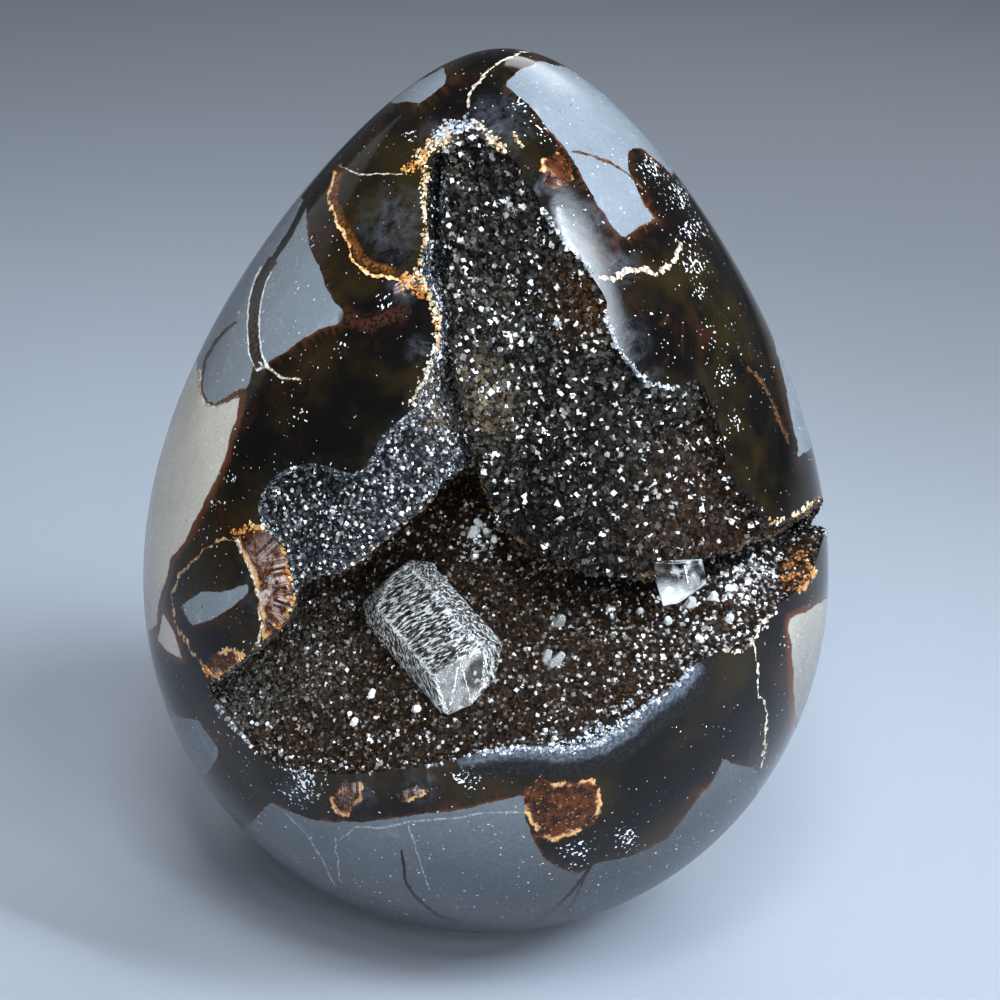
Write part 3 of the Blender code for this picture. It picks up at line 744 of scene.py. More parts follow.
def calcite_colour(look, place, grey_edge):
    """Dark calcite, olive to red-brown inside, with fibres that stand on its borders."""
    foot = look.vector("foot")
    fibre = look.noise(foot, 0.0009, 3.0, 0.7)
    clouds = look.noise(place, 0.016, 4.0, 0.6)
    calcite = look.mix(look.step(clouds, 0.42, 0.68), (0.0026, 0.0022, 0.0021),
                       (0.0150, 0.0105, 0.0035))
    redness = look.noise(place, 0.010, 4.0, 0.65, 0.8)
    calcite = look.mix(look.step(redness, 0.55, 0.76), calcite, (0.0240, 0.0085, 0.0040))
    near_grey = look.step(grey_edge, -2.6, 0.0)
    streak = look.times(look.step(fibre, 0.44, 0.70), near_grey)
    calcite = look.over(calcite, (0.050, 0.019, 0.007), streak, 0.8)
    patchy = look.step(look.noise(place, 0.007, 2.0), 0.44, 0.62)
    thin_band = look.times(look.step(grey_edge, -0.65, -0.1), patchy)
    calcite = look.over(calcite, (0.075, 0.026, 0.008), thin_band, 0.7)
    cream_edge = look.plus(look.number("cream"),
                           look.times(look.noise(place, 0.0022, 3.0), 1.2))
    by_cream = look.step(cream_edge, -0.9, 0.5)
    calcite = look.over(calcite, (0.085, 0.026, 0.006), by_cream, 0.85)

    # Milky fibres by the rim and in the haze spots; along the right rim the blue-white haze
    # is partly painted highlight
    near_rim = look.step(look.number("rim"), 3.2, 0.2)
    milky_and_sheen = look.math("MAXIMUM", look.number("haze_and_sheen"), look.times(near_rim, 0.10))
    wool = look.noise(place, 0.0026, 5.0, 0.75, 0.3)
    soft_fibre = look.noise(foot, 0.0016, 3.0, 0.6)
    fibres = look.plus(look.times(look.step(soft_fibre, 0.35, 0.70), 0.6),
                       look.times(look.step(fibre, 0.42, 0.76), 0.5))
    fibres = look.math("MULTIPLY", fibres, look.step(wool, 0.34, 0.68), clamp=True)
    clouded = look.times(look.step(wool, 0.34, 0.80), 0.65)
    fibres = look.mix_number(look.step(look.number("rim"), 4.5, 1.5), clouded, fibres)
    woolly = look.times(milky_and_sheen, fibres)
    calcite = look.mix(woolly, calcite, (0.080, 0.090, 0.112))

    # Painted glints: fine white specks in the calcite that stand in for light catching inner
    # facets, thickest in the painted glint spots
    spark = look.noise(place, 0.00062, 1.0)
    zone = look.step(look.noise(place, 0.010, 2.0), 0.52, 0.64)
    level = look.plus(look.times(look.number("painted_glints"), 0.17), look.times(zone, 0.05))
    painted_glint = look.step(look.plus(spark, level), 0.765, 0.79)
    calcite = look.mix(painted_glint, calcite, (0.62, 0.66, 0.70))

    torn = look.math("SUBTRACT", look.noise(place, 0.0018, 5.0, 0.7), 0.5)
    amber_edge = look.plus(look.number("amber"), look.times(torn, 3.2))
    is_amber = look.step(amber_edge, -0.15, 0.15)
    inner = look.step(amber_edge, 0.25, 0.9)
    rim_tone = look.mix(look.noise(place, 0.0007, 2.0), (0.40, 0.13, 0.018),
                        (0.72, 0.50, 0.26))
    core_tone = look.mix(look.step(look.noise(place, 0.0020, 5.0, 0.75), 0.38, 0.70),
                         (0.010, 0.0035, 0.0025), (0.090, 0.026, 0.007))
    thread = look.times(look.step(look.noise(foot, 0.0006, 4.0, 0.8), 0.43, 0.61),
                        look.step(look.noise(place, 0.0016, 4.0, 0.7), 0.36, 0.60))
    thread = look.times(thread, look.number("haze_and_sheen"))
    core_tone = look.over(core_tone, (0.600, 0.490, 0.460), thread, 0.95)
    grains = look.step(look.noise(place, 0.0006, 2.0, 0.7), 0.60, 0.68)
    core_tone = look.over(core_tone, (0.340, 0.150, 0.040), grains, 0.8)
    gap = look.step(look.noise(place, 0.004, 2.0), 0.46, 0.56)
    rim_tone = look.mix(gap, core_tone, rim_tone)
    calcite = look.mix(is_amber, calcite, look.mix(inner, rim_tone, core_tone))
    return calcite, woolly


def wall_material():
    """The stone under the druse."""
    look = Shader("hollow_wall")
    place = look.place()
    tone = look.noise(place, 0.0010, 3.0)
    look.set("Base Color", look.mix(tone, (0.003, 0.002, 0.0015), (0.012, 0.008, 0.005)))
    look.set("Roughness", 0.55)
    look.set("Specular IOR Level", 0.15)
    look.bump(look.noise(place, 0.0008, 2.0), 0.8, 0.0005)
    return look.material


def druse_material(name, roughness, specular):
    """Small glossy crystals, each in its own tint."""
    look = Shader(name)
    tint = look.node("ShaderNodeAttribute", attribute_name="tint").outputs["Color"]
    look.set("Base Color", tint)
    look.set("Roughness", roughness)
    look.set("Specular IOR Level", specular)
    return look.material


def clear_material(name, roughness, density, streaked=False):
    """Clear calcite: plain transmission, white where its faces are frosted."""
    look = Shader(name)
    frost = look.number("frost")
    if streaked:
        streak = look.noise(look.vector("grain"), STREAK_FINE, 3.0, 0.65)
        look.bump(look.times(streak, look.number("streaky")), 0.8, 0.0006)
        streak = look.times(look.step(streak, 0.46, 0.60), look.number("streaky"))
        frost = look.math("ADD", frost, streak, clamp=True)
    look.set("Base Color", (0.90, 0.94, 0.95))
    look.set("Roughness", look.mix_number(frost, roughness, 0.35))
    look.set("Transmission Weight", look.mix_number(frost, 1.0, 0.15))
    look.set("IOR", 1.6)
    volume = look.node("ShaderNodeVolumeAbsorption", {"Color": (0.75, 0.80, 0.82),
                                                      "Density": density})
    output = look.tree.nodes["Material Output"]
    look.tree.links.new(volume.outputs[0], output.inputs["Volume"])
    return look.material


# The polished egg

FRONT_SPREAD = math.radians(112)
FRONT_COLUMNS = 262
BACK_COLUMNS = 84
MERIDIAN_STEP = 0.00092
MERIDIAN_SAMPLES = 3000
FLAT_RINGS = (0.3, 0.65, 0.97)


def egg_mesh():
    """The egg as a fine turned solid, finer at the front, with its flat spot."""
    front = np.linspace(-FRONT_SPREAD, FRONT_SPREAD, FRONT_COLUMNS)
    back = np.linspace(FRONT_SPREAD, 2 * math.pi - FRONT_SPREAD, BACK_COLUMNS + 1)[1:-1]
    turns = np.concatenate([front, back])
    levels = np.linspace(math.acos(-FLAT_AT), math.pi, MERIDIAN_SAMPLES)
    heights = -np.cos(levels) * EGG_HALF_HEIGHT
    radii = egg_radius(heights)
    run = np.concatenate([[0], np.cumsum(np.hypot(np.diff(heights), np.diff(radii)))])
    rows = int(run[-1] / MERIDIAN_STEP)
    wanted = np.linspace(0, run[-1], rows)
    row_heights = np.interp(wanted, run, heights)[:-1]
    row_radii = egg_radius(row_heights)
    row_heights = np.concatenate([[row_heights[0]] * len(FLAT_RINGS), row_heights])
    row_radii = np.concatenate([row_radii[0] * np.array(FLAT_RINGS), row_radii])
    count = len(turns)
    corners = []
    for height, radius in zip(row_heights, row_radii):
        ring = np.stack([radius * np.sin(turns), -radius * np.cos(turns),
                         np.full(count, CENTRE_Z + height)], axis=1)
        corners.append(ring)
    top = len(row_heights) * count
    ends = np.array([[0, 0, CENTRE_Z + EGG_HALF_HEIGHT], [0, 0, 0]])
    corners = np.concatenate(corners + [ends])
    side = np.arange(count)
    after = (side + 1) % count
    faces = []
    for row in range(len(row_heights) - 1):
        low, high = row * count, (row + 1) * count
        faces += np.stack([low + side, low + after, high + after, high + side], 1).tolist()
    last = (len(row_heights) - 1) * count
    faces += [[last + a, last + b, top] for a, b in zip(side.tolist(), after.tolist())]
    faces += [[b, a, top + 1] for a, b in zip(side.tolist(), after.tolist())]
    corners[:count * len(FLAT_RINGS), 2] = 0.0
    return mesh_object("nodule_stone", corners, faces)


SKIN_LOW = (-0.074, -0.078, CENTRE_Z - 0.048)
SKIN_HIGH = (0.078, 0.036, CENTRE_Z + 0.090)
VOID_SAMPLE = 0.0011
VOID_CELL = 0.0010


def void_object():
    corners, faces = skin(lumpy_hollow, SKIN_LOW, SKIN_HIGH, VOID_SAMPLE)
    thing = mesh_object("void", corners, faces.tolist())
    remesh(thing, VOID_CELL)
    return thing


# The cells of the back: how far apart their seeds start, how far each is shifted, how the
# borders bend, and half the width of the calcite between them, in millimetres
BACK_SEEDS_APART = 0.040
BACK_SEEDS_SHIFT = 0.014
BACK_SEEDS_ACROSS = (-0.08, 0.081)
BACK_SEEDS_UP = (-0.02, 0.19)
BACK_BEND = 0.004
BACK_BEND_SIZE = 0.030
BACK_PALE_SHARE = 0.3
BACK_VEIN_HALF = 3.4
BACK_VEIN_SWELL = 0.6
NOT_CREAM = -5.0
# The third coordinate of the fibres' space, where the outlines give the other two
FOOT_SPACE = 0.5
# The outlines give way to the back's pattern where the face turns from the line of sight
FRONT_FROM = -0.40
FRONT_OVER = 0.35
LINES_FROM = 0.08
# How far past its end a line lies where it is hidden, in millimetres
LINE_HIDDEN = 9.0
FAR_FROM_AMBER = -6
FAR_FROM_RIM = 40


def back_pattern(places):
    """Grey cells and the calcite between them, for the sides that no outline covers."""
    rng = np.random.default_rng(21)
    across = np.arange(*BACK_SEEDS_ACROSS, BACK_SEEDS_APART)
    up = np.arange(*BACK_SEEDS_UP, BACK_SEEDS_APART)
    seeds = np.stack(np.meshgrid(across, across, up, indexing="ij"), axis=-1).reshape(-1, 3)
    seeds = seeds + rng.uniform(-BACK_SEEDS_SHIFT, BACK_SEEDS_SHIFT, seeds.shape)
    pale = rng.uniform(size=len(seeds)) < BACK_PALE_SHARE
    bend = BACK_BEND * np.stack(
        [ripple(*places.T, BACK_BEND_SIZE, seed) for seed in (31, 32, 33)], axis=1)
    gaps = np.linalg.norm((places + bend)[:, None, :] - seeds[None], axis=2)
    order = np.argsort(gaps, axis=1)[:, :2]
    rows = np.arange(len(places))
    first, second = gaps[rows, order[:, 0]], gaps[rows, order[:, 1]]
    swell = 1 + BACK_VEIN_SWELL * ripple(*places.T, 0.05, 41)
    grey = (second - first) / 2 / MM - BACK_VEIN_HALF * swell
    to_next = unit(seeds[order[:, 1]] - seeds[order[:, 0]])
    foot = places - to_next * (grey * MM)[:, None]
    return grey, np.where(pale[order[:, 0]], grey, NOT_CREAM), foot


def largest_distance(px, py, outlines):
    """How far inside any of the outlines each place is, in millimetres."""
    return np.max([outline_distance(px, py, outline) * SHEET_MM for outline in outlines], 0)


def fall_off(gap, reach):
    """1 near by, falling to 0 at reach."""
    return np.clip(1.5 - 1.5 * gap / reach, 0.0, 1.0)


def near_spot(px, py, x, y, reach):
    return fall_off(np.hypot(px - x, py - y), reach)


def near_line(px, py, points, reach):
    return fall_off(line_distance(px, py, points), reach)


def largest_spot(px, py, spots):
    return np.max([near_spot(px, py, *spot) for spot in spots], 0)


def line_offsets(px, py, points):
    """Across, past the ends and away from a line, in millimetres, for thin veins."""
    best = np.full(len(px), 1e9)
    across = np.zeros(len(px))
    past = np.zeros(len(px))
    last = len(points) - 2
    for number, ((ax, ay), (bx, by)) in enumerate(zip(points[:-1], points[1:])):
        run_x, run_y = bx - ax, by - ay
        length = math.hypot(run_x, run_y)
        along = ((px - ax) * run_x + (py - ay) * run_y) / length
        inside = np.clip(along, 0.0, length)
        gap = np.hypot(px - ax - inside * run_x / length, py - ay - inside * run_y / length)
        closer = gap < best
        sign_offset = ((px - ax) * run_y - (py - ay) * run_x) / length
        beyond = np.zeros(len(px))
        if number == 0:
            beyond = np.maximum(beyond, -along)
        if number == last:
            beyond = np.maximum(beyond, along - length)
        signed = np.where(beyond > 0, sign_offset, np.sign(sign_offset) * gap)
        best = np.where(closer, gap, best)
        across = np.where(closer, signed, across)
        past = np.where(closer, beyond, past)
    return across * SHEET_MM, past * SHEET_MM, best * SHEET_MM


def mark_polish(mesh):
    """Write, at each corner, how far it is from each border that the polish shows."""
    places = read_vectors(mesh.vertices, "co")
    px, py, near = to_sheet(*places.T)
    normals = read_vectors(mesh.vertices, "normal")
    facing = -normals[:, 1] * math.cos(SIGHT_TILT) + normals[:, 2] * math.sin(SIGHT_TILT)
    share = np.clip((facing - FRONT_FROM) / FRONT_OVER, 0.0, 1.0)
    share = share * share * (3 - 2 * share)
    back_grey, back_cream, back_foot = back_pattern(places)
    borders = {
        "grey": (back_grey, largest_distance(px, py, GREY_OUTLINES)),
        "cream": (back_cream, largest_distance(px, py, CREAM_OUTLINES)),
        "amber": (FAR_FROM_AMBER, largest_distance(px, py, AMBER_OUTLINES)),
        "rim": (FAR_FROM_RIM, -outline_distance(px, py, RIM) * SHEET_MM),
        "haze_and_sheen": (0.0, largest_spot(px, py, HAZE_AND_SHEEN_SPOTS)),
        "painted_glints": (0.0, largest_spot(px, py, PAINTED_GLINT_SPOTS)),
    }
    for name, (behind, drawn) in borders.items():
        add_number(mesh, name, behind + (drawn - behind) * share)

    nearest = np.array([nearest_on_line(px, py, outline + outline[:1])
                        for outline in GREY_OUTLINES + [RIM]])
    closest = np.argmin(nearest[:, 0], axis=0)
    foot_x, foot_y = nearest[closest, 1:, np.arange(len(places))].T * SHEET_UNIT
    drawn_foot = np.stack([foot_x, foot_y, np.full(len(places), FOOT_SPACE)], axis=1)
    foot = np.where(share[:, None] > 0.5, drawn_foot, back_foot)
    add_vector(mesh, "foot", *foot.T)
    hidden = np.where(facing > LINES_FROM, 0.0, LINE_HIDDEN)
    for spec in LINES:
        across, past, away = line_offsets(px, py, spec["points"])
        add_vector(mesh, spec["name"], across, past + hidden, away)


# The wall is what lies deeper than this below the polish, and higher than the foot
WALL_FROM_DEPTH = 0.00006
FOOT_BELOW_Z = 0.004
RIM_ANGLE = math.radians(32)


def make_nodule():
    egg = egg_mesh()
    void = void_object()
    step = egg.modifiers.new("Hollow", "BOOLEAN")
    step.operation = "DIFFERENCE"
    step.solver = "MANIFOLD"
    step.object = void
    apply_modifiers(egg)
    bpy.data.objects.remove(void)
    mesh = egg.data
    mesh.materials.clear()
    mesh.materials.append(polished_material())
    mesh.materials.append(wall_material())
    centres = read_vectors(mesh.polygons, "center")
    on_wall = (egg_depth(*centres.T) > WALL_FROM_DEPTH) & (centres[:, 2] > FOOT_BELOW_Z)
    mesh.polygons.foreach_set("material_index", on_wall.astype(np.int32))
    mark_polish(mesh)
    mesh.shade_smooth()
    mesh.set_sharp_from_angle(angle=RIM_ANGLE)
    return egg, on_wall


# The druse

def crystal_block():
    """A unit rhomb, a cube stood on one corner: its corners and its faces."""
    corners = np.array([(x, y, z) for x in (-1, 1) for y in (-1, 1) for z in (-1, 1)], float)
    up = np.ones(3) / math.sqrt(3)
    side = np.cross(up, (0, 0, 1.0))
    side = side / np.linalg.norm(side)
    turn = np.stack([side, np.cross(up, side), up], axis=0)
    faces = np.array([(0, 1, 3, 2), (4, 6, 7, 5), (0, 4, 5, 1), (2, 3, 7, 6),
                      (0, 2, 6, 4), (1, 5, 7, 3)])
    return corners @ turn.T / math.sqrt(3), faces


def grow_crystals(name, places, normals, sizes, tints, mat, seed, tilt=0.55):
    """One mesh of small rhombs, each on its own place, leaning at random."""
    rng = np.random.default_rng(seed)
    count = len(places)
    block, block_faces = crystal_block()
    axis = unit(normals + rng.normal(size=(count, 3)) * tilt)
    first = unit(np.cross(axis, rng.normal(size=(count, 3))))
    second = np.cross(axis, first)
    tall = rng.uniform(0.75, 1.35, count)
    wide = rng.uniform(0.8, 1.15, count)
    corners = (block[None, :, 0, None] * (first * (sizes * wide)[:, None])[:, None]
               + block[None, :, 1, None] * (second * sizes[:, None])[:, None]
               + block[None, :, 2, None] * (axis * (sizes * tall)[:, None])[:, None]
               + places[:, None])
    corners = corners.reshape(-1, 3)
    faces = (block_faces[None] + 8 * np.arange(count)[:, None, None]).reshape(-1, 4)
    mesh = bpy.data.meshes.new(name)
    mesh.vertices.add(len(corners))
    mesh.vertices.foreach_set("co", corners.ravel())
    mesh.loops.add(faces.size)
    mesh.loops.foreach_set("vertex_index", faces.ravel().astype(np.int32))
    mesh.polygons.add(len(faces))
    mesh.polygons.foreach_set("loop_start", np.arange(0, faces.size, 4, dtype=np.int32))
    mesh.update(calc_edges=True)
    mesh.shade_flat()
    layer = mesh.attributes.new("tint", "FLOAT_COLOR", "POINT")
    colours = np.concatenate([np.repeat(tints, 8, axis=0), np.ones((count * 8, 1))], 1)
    layer.data.foreach_set("color", colours.astype(np.float32).ravel())
    mesh.materials.append(mat)
    return new_object(name, mesh)


def wall_samples(mesh, on_wall, apart, seed):
    """Random places on the hollow's wall, about one to each square of side apart."""
    mesh.calc_loop_triangles()
    triangles = np.zeros(len(mesh.loop_triangles) * 3, dtype=np.int32)
    mesh.loop_triangles.foreach_get("vertices", triangles)
    triangles = triangles.reshape(-1, 3)
    owner = np.zeros(len(mesh.loop_triangles), dtype=np.int32)
    mesh.loop_triangles.foreach_get("polygon_index", owner)
    triangles = triangles[on_wall[owner]]
    places = read_vectors(mesh.vertices, "co")
    a, b, c = (places[triangles[:, k]] for k in range(3))
    cross = np.cross(b - a, c - a)
    area = np.linalg.norm(cross, axis=1) / 2
    rng = np.random.default_rng(seed)
    count = int(area.sum() / apart ** 2)
    pick = rng.choice(len(area), size=count, p=area / area.sum())
    s, t = rng.uniform(size=(2, count))
    flip = s + t > 1
    s, t = np.where(flip, 1 - s, s), np.where(flip, 1 - t, t)
    points = a[pick] + s[:, None] * (b - a)[pick] + t[:, None] * (c - a)[pick]
    normals = cross[pick] / (2 * area[pick] + 1e-15)[:, None]
    return points, normals


# Places in the druse with a tint of their own: the spot, its tint, and the share of the
# crystals there that take it
TINT_SPOTS = [
    ((590, 300, 60), (0.028, 0.014, 0.006), 1.0),
    ((740, 520, 150), (0.015, 0.0080, 0.0045), 1.0),
    ((462, 400, 62), (0.100, 0.075, 0.045), 0.5),
]
BLOCK_EDGE_TINT = (0.090, 0.060, 0.030)
LOW_LEFT_SPOT = (250, 685, 56)
LOW_LEFT_TINT = (0.055, 0.052, 0.046)
# The same on the floor: a dusty spot, and the spots with more white crystals
FLOOR_SPOT = (300, 640, 80)
FLOOR_TINT = (0.036, 0.028, 0.022)
# The share of white crystals on the floor, partly white crystals and partly painted glints
FLOOR_PALE_AND_GLINT_SHARE = 0.035
FLOOR_PALE_SPOTS = [((748, 572, 48), 0.50), ((480, 537, 30), 0.5)]
ORANGE_SPOT = (798, 572, 26)
ORANGE_TINT = (0.21, 0.075, 0.016)
# Painted shade: the near-black tint of crystals where the slit and the cleft lie in shadow
PAINTED_SHADE_TINT = (0.003, 0.003, 0.003)


def blend_tint(base, other, share):
    return base + (np.array(other)[None] - base) * share[:, None]


def druse_tints(px, py, area, seed):
    """The colour of each crystal, from the area and the place where it grows."""
    rng = np.random.default_rng(seed)
    count = len(px)
    chance = rng.uniform(size=count)
    tint = np.tile(np.array([AREA_TINTS[area]]), (count, 1))
    # Painted shade: on the right block, fewer dull and white crystals low down, where its
    # face turns under away from the light
    high = np.interp(py, (400, 540), (1.0, 0.25)) if area == "right" else np.ones(count)
    dull_tint, dull_share = DULL_TINTS[area]
    tint = blend_tint(tint, dull_tint, chance > 1 - dull_share * high)
    for spot, spot_tint, share in TINT_SPOTS:
        tint = blend_tint(tint, spot_tint, near_spot(px, py, *spot) * (chance < share))
    by_edge = near_line(px, py, BLOCK_EDGE, 8) * (chance < 0.4)
    tint = blend_tint(tint, BLOCK_EDGE_TINT, by_edge)
    tint = blend_tint(tint, LOW_LEFT_TINT, near_spot(px, py, *LOW_LEFT_SPOT))
    if area == "floor":
        tint = blend_tint(tint, FLOOR_TINT, near_spot(px, py, *FLOOR_SPOT))
        pale = chance < FLOOR_PALE_AND_GLINT_SHARE + 0.14 * near_spot(px, py, 700, 615, 110)
        for spot, share in FLOOR_PALE_SPOTS:
            pale |= chance < share * near_spot(px, py, *spot)
    else:
        pale = chance < PALE_AND_GLINT_SHARE[area] * high
    # White crystals, partly real white crystals and partly painted glints for facets that
    # catch the lights
    white = rng.uniform(0.20, 0.70, (count, 1)) * np.array([[0.95, 1.0, 1.04]])
    tint = np.where(pale[:, None], white, tint)
    orange = chance < 0.6 * near_spot(px, py, *ORANGE_SPOT)
    tint = np.where(orange[:, None], [ORANGE_TINT], tint)
    # Painted shade: crystals in the slit under the right block and by the cleft's left side
    # are tinted near-black
    in_slit = py < line_at(px, SLIT_LINE, 0) + rng.uniform(-3, 3, count)
    in_painted_shade = in_slit & (px > 555) & (area == "floor")
    in_painted_shade |= (px < line_at(py, CLEFT, 1) - 8) & (py < 240)
    tint = np.where(in_painted_shade[:, None], [PAINTED_SHADE_TINT], tint)
    return tint * rng.uniform(0.35, 1.0, (count, 1)) ** 2 * 2.0


AREA_TINTS = {
    "right": (0.0048, 0.0041, 0.0034),
    "left": (0.0085, 0.0093, 0.0115),
    "floor": (0.0140, 0.0074, 0.0035),
}
AREA_GLOSS = {"right": (0.09, 0.55), "left": (0.09, 0.60), "floor": (0.20, 0.45)}
# The share of white crystals in each area, partly painted glints
PALE_AND_GLINT_SHARE = {"right": 0.06, "left": 0.15}
# The duller tint that some crystals of an area have, and their share
DULL_TINTS = {
    "right": ((0.034, 0.032, 0.026), 0.30),
    "left": ((0.054, 0.060, 0.073), 0.36),
    "floor": ((0.036, 0.028, 0.022), 0.08),
}
# How far apart the crystals of each area start, and their smallest and largest size
AREA_GRAIN = {
    "right": (0.00053, 0.00042, 0.00088),
    "left": (0.00044, 0.00028, 0.00056),
    "floor": (0.00049, 0.00031, 0.00061),
}
PIECE_CRYSTALS = 16000


def area_of(places):
    """Which area of the druse each place belongs to."""
    px, py, near = to_sheet(*places.T)
    depth = egg_depth(*places.T)
    over = places[:, 2] - (CENTRE_Z + line_at(places[:, 0], FLOOR_RIM, 0) - RIM_STEP
                           + FLOOR_RISE * depth)
    on_floor = (py > line_at(px, BLOCK_EDGE, 0)) | (over < 0.0012)
    left = px < line_at(py, CLEFT, 1)
    return np.where(on_floor, "floor", np.where(left, "left", "right"))


def make_druse(nodule, on_wall):
    pieces = []
    for number, (area, (apart, smallest, largest)) in enumerate(AREA_GRAIN.items()):
        seed = 101 + 10 * number
        mat = druse_material(f"{area}_druse", *AREA_GLOSS[area])
        places, normals = wall_samples(nodule.data, on_wall, apart, seed)
        rng = np.random.default_rng(seed + 1)
        sizes = smallest + (largest - smallest) * rng.uniform(size=len(places)) ** 1.6
        kept = (area_of(places) == area) & (egg_depth(*places.T) > 0.7 * sizes)
        places, normals, sizes = places[kept], normals[kept], sizes[kept]
        px, py, near = to_sheet(*places.T)
        tints = druse_tints(px, py, area, seed + 2)
        for part_number, start in enumerate(range(0, len(places), PIECE_CRYSTALS)):
            part = slice(start, start + PIECE_CRYSTALS)
            pieces.append(grow_crystals(
                f"druse_{area}_{part_number + 1}", places[part], normals[part],
                sizes[part], tints[part], mat, seed + 3 + part_number))
    pieces.append(edge_crystals(druse_material("edge_druse", 0.15, 0.6)))
    return pieces


SIGHT_STEPS = 601


def first_in_stone(px, py, space, nearest=0.075, farthest=-0.045):
    """The nearness at which lines of sight first meet the stone around a space."""
    nearness = np.linspace(nearest, farthest, SIGHT_STEPS)
    x, y, z = from_sheet(px[:, None], py[:, None], nearness[None])
    found = (space(x, y, z) < 0) & (egg_depth(x, y, z) > 0)
    return np.where(found.any(axis=1), nearness[np.argmax(found, axis=1)], np.nan)


def outward(x, y, z):
    """The direction straight out of the polished face."""
    return unit(np.stack([x, y, -egg_lean(z - CENTRE_Z) * np.hypot(x, y)], axis=1))


EDGE_SINK = 0.05
EDGE_REACH = 0.0022
CRYSTAL_SINK = 0.15


def edge_crystals(mat):
    """The serrated rows of small crystals along the hollow's edges."""
    rng = np.random.default_rng(77)
    all_places, all_sizes, all_tints = [], [], []
    for points, spread, size, tints in EDGE_ROWS:
        for (ax, ay), (bx, by) in zip(points[:-1], points[1:]):
            length = math.hypot(bx - ax, by - ay)
            count = int(length * SHEET_MM * EDGE_CRYSTALS_PER_MM * (0.6 + spread))
            along = rng.uniform(size=count)
            aside = rng.normal(size=count) * spread / SHEET_MM * 0.5
            px = ax + along * (bx - ax) + aside * (by - ay) / length
            py = ay + along * (by - ay) - aside * (bx - ax) / length
            near = first_in_stone(px, py, lumpy_hollow)
            shallow = egg_depth(*from_sheet(px, py, near)) < EDGE_REACH
            px, py, near = (values[shallow] for values in (px, py, near))
            sizes = size * MM * rng.uniform(0.6, 1.25, len(px))
            places = np.stack(from_sheet(px, py, near), axis=1)
            sink = EDGE_SINK * MM + CRYSTAL_SINK * sizes
            places = places - outward(*places.T) * sink[:, None]
            mixed = rng.uniform(size=(len(px), 1))
            all_places.append(places)
            all_sizes.append(sizes)
            all_tints.append((np.array(tints[0]) + (np.array(tints[1]) - tints[0]) * mixed)
                             * rng.uniform(0.5, 1.1, (len(px), 1)))
    places = np.concatenate(all_places)
    return grow_crystals("druse_edges", places, outward(*places.T),
                         np.concatenate(all_sizes), np.concatenate(all_tints), mat, 78, 0.8)


# The clear crystals

CLEAR_CRYSTAL = [
    (410, 560, 0.0265), (430, 562, 0.0285), (376, 609, 0.0315), (393, 573, 0.0275),
    (363, 602, 0.0265), (367, 625, 0.0290), (404, 670, 0.0375), (432, 677, 0.0450),
    (441, 713, 0.0445), (459, 659, 0.0465), (487, 650, 0.0445), (503, 643, 0.0410),
    (495, 679, 0.0440), (471, 705, 0.0455), (448, 715, 0.0450), (437, 601, 0.0375),
]
CLEAR_FOOT = 0.0007
CLEAR_TOP_FACE = [(409, 566), (441, 601), (467, 633), (485, 649), (459, 660), (433, 676),
                  (404, 640), (378, 610), (392, 575)]
CLEAR_END_FACE = [(435, 677), (459, 659), (485, 651), (483, 686), (471, 705), (448, 715)]
CLEAR_WINDOW = [(470, 664), (484, 654), (482, 684), (472, 690), (462, 680)]
CLEAR_LENGTH_WAY = (0.49, 0.87)
SLIT_CRYSTAL = [
    (654, 561, 0.0485), (686, 563, 0.0475), (702, 559, 0.0450), (707, 584, 0.0440),
    (679, 603, 0.0450), (663, 606, 0.0455), (656, 582, 0.0470), (690, 585, 0.0470),
]
SLIT_THICKNESS = 0.0036
CLEAR_CELL = 0.00030
STREAK_SIZE = 0.0008
STREAK_STRETCH = 4.5
STREAK_HEIGHT = 0.00012
STREAK_FINE = 0.00035


def crystal_hull(name, corners, cell):
    """A crystal around its corners, as a fine mesh with slightly worn edges."""
    shape = bmesh.new()
    for corner in corners:
        shape.verts.new(Vector(corner))
    result = bmesh.ops.convex_hull(shape, input=shape.verts[:])
    loose = [v for v in result["geom_interior"] if isinstance(v, bmesh.types.BMVert)]
    bmesh.ops.delete(shape, geom=loose, context="VERTS")
    bmesh.ops.recalc_face_normals(shape, faces=shape.faces[:])
    mesh = bpy.data.meshes.new(name)
    shape.to_mesh(mesh)
    shape.free()
    thing = new_object(name, mesh)
    remesh(thing, cell)
    return thing


def within(px, py, outline, soft):
    """1 inside an outline and 0 outside it, over an edge of a width in sheet units."""
    return np.clip(outline_distance(px, py, outline) / soft + 0.5, 0.0, 1.0)


def streak_spaces(x, y, z):
    """The two spaces that the large crystal's streaks are drawn in: across and along it."""
    px, py, near = to_sheet(x, y, z)
    along_x, along_y = CLEAR_LENGTH_WAY
    along = (px * along_x + py * along_y) * SHEET_UNIT
    aside = (px * along_y - py * along_x) * SHEET_UNIT
    across = np.stack([along, aside / STREAK_STRETCH, near / STREAK_STRETCH])
    lengthwise = np.stack([along / STREAK_STRETCH, aside, near])
    return across, lengthwise


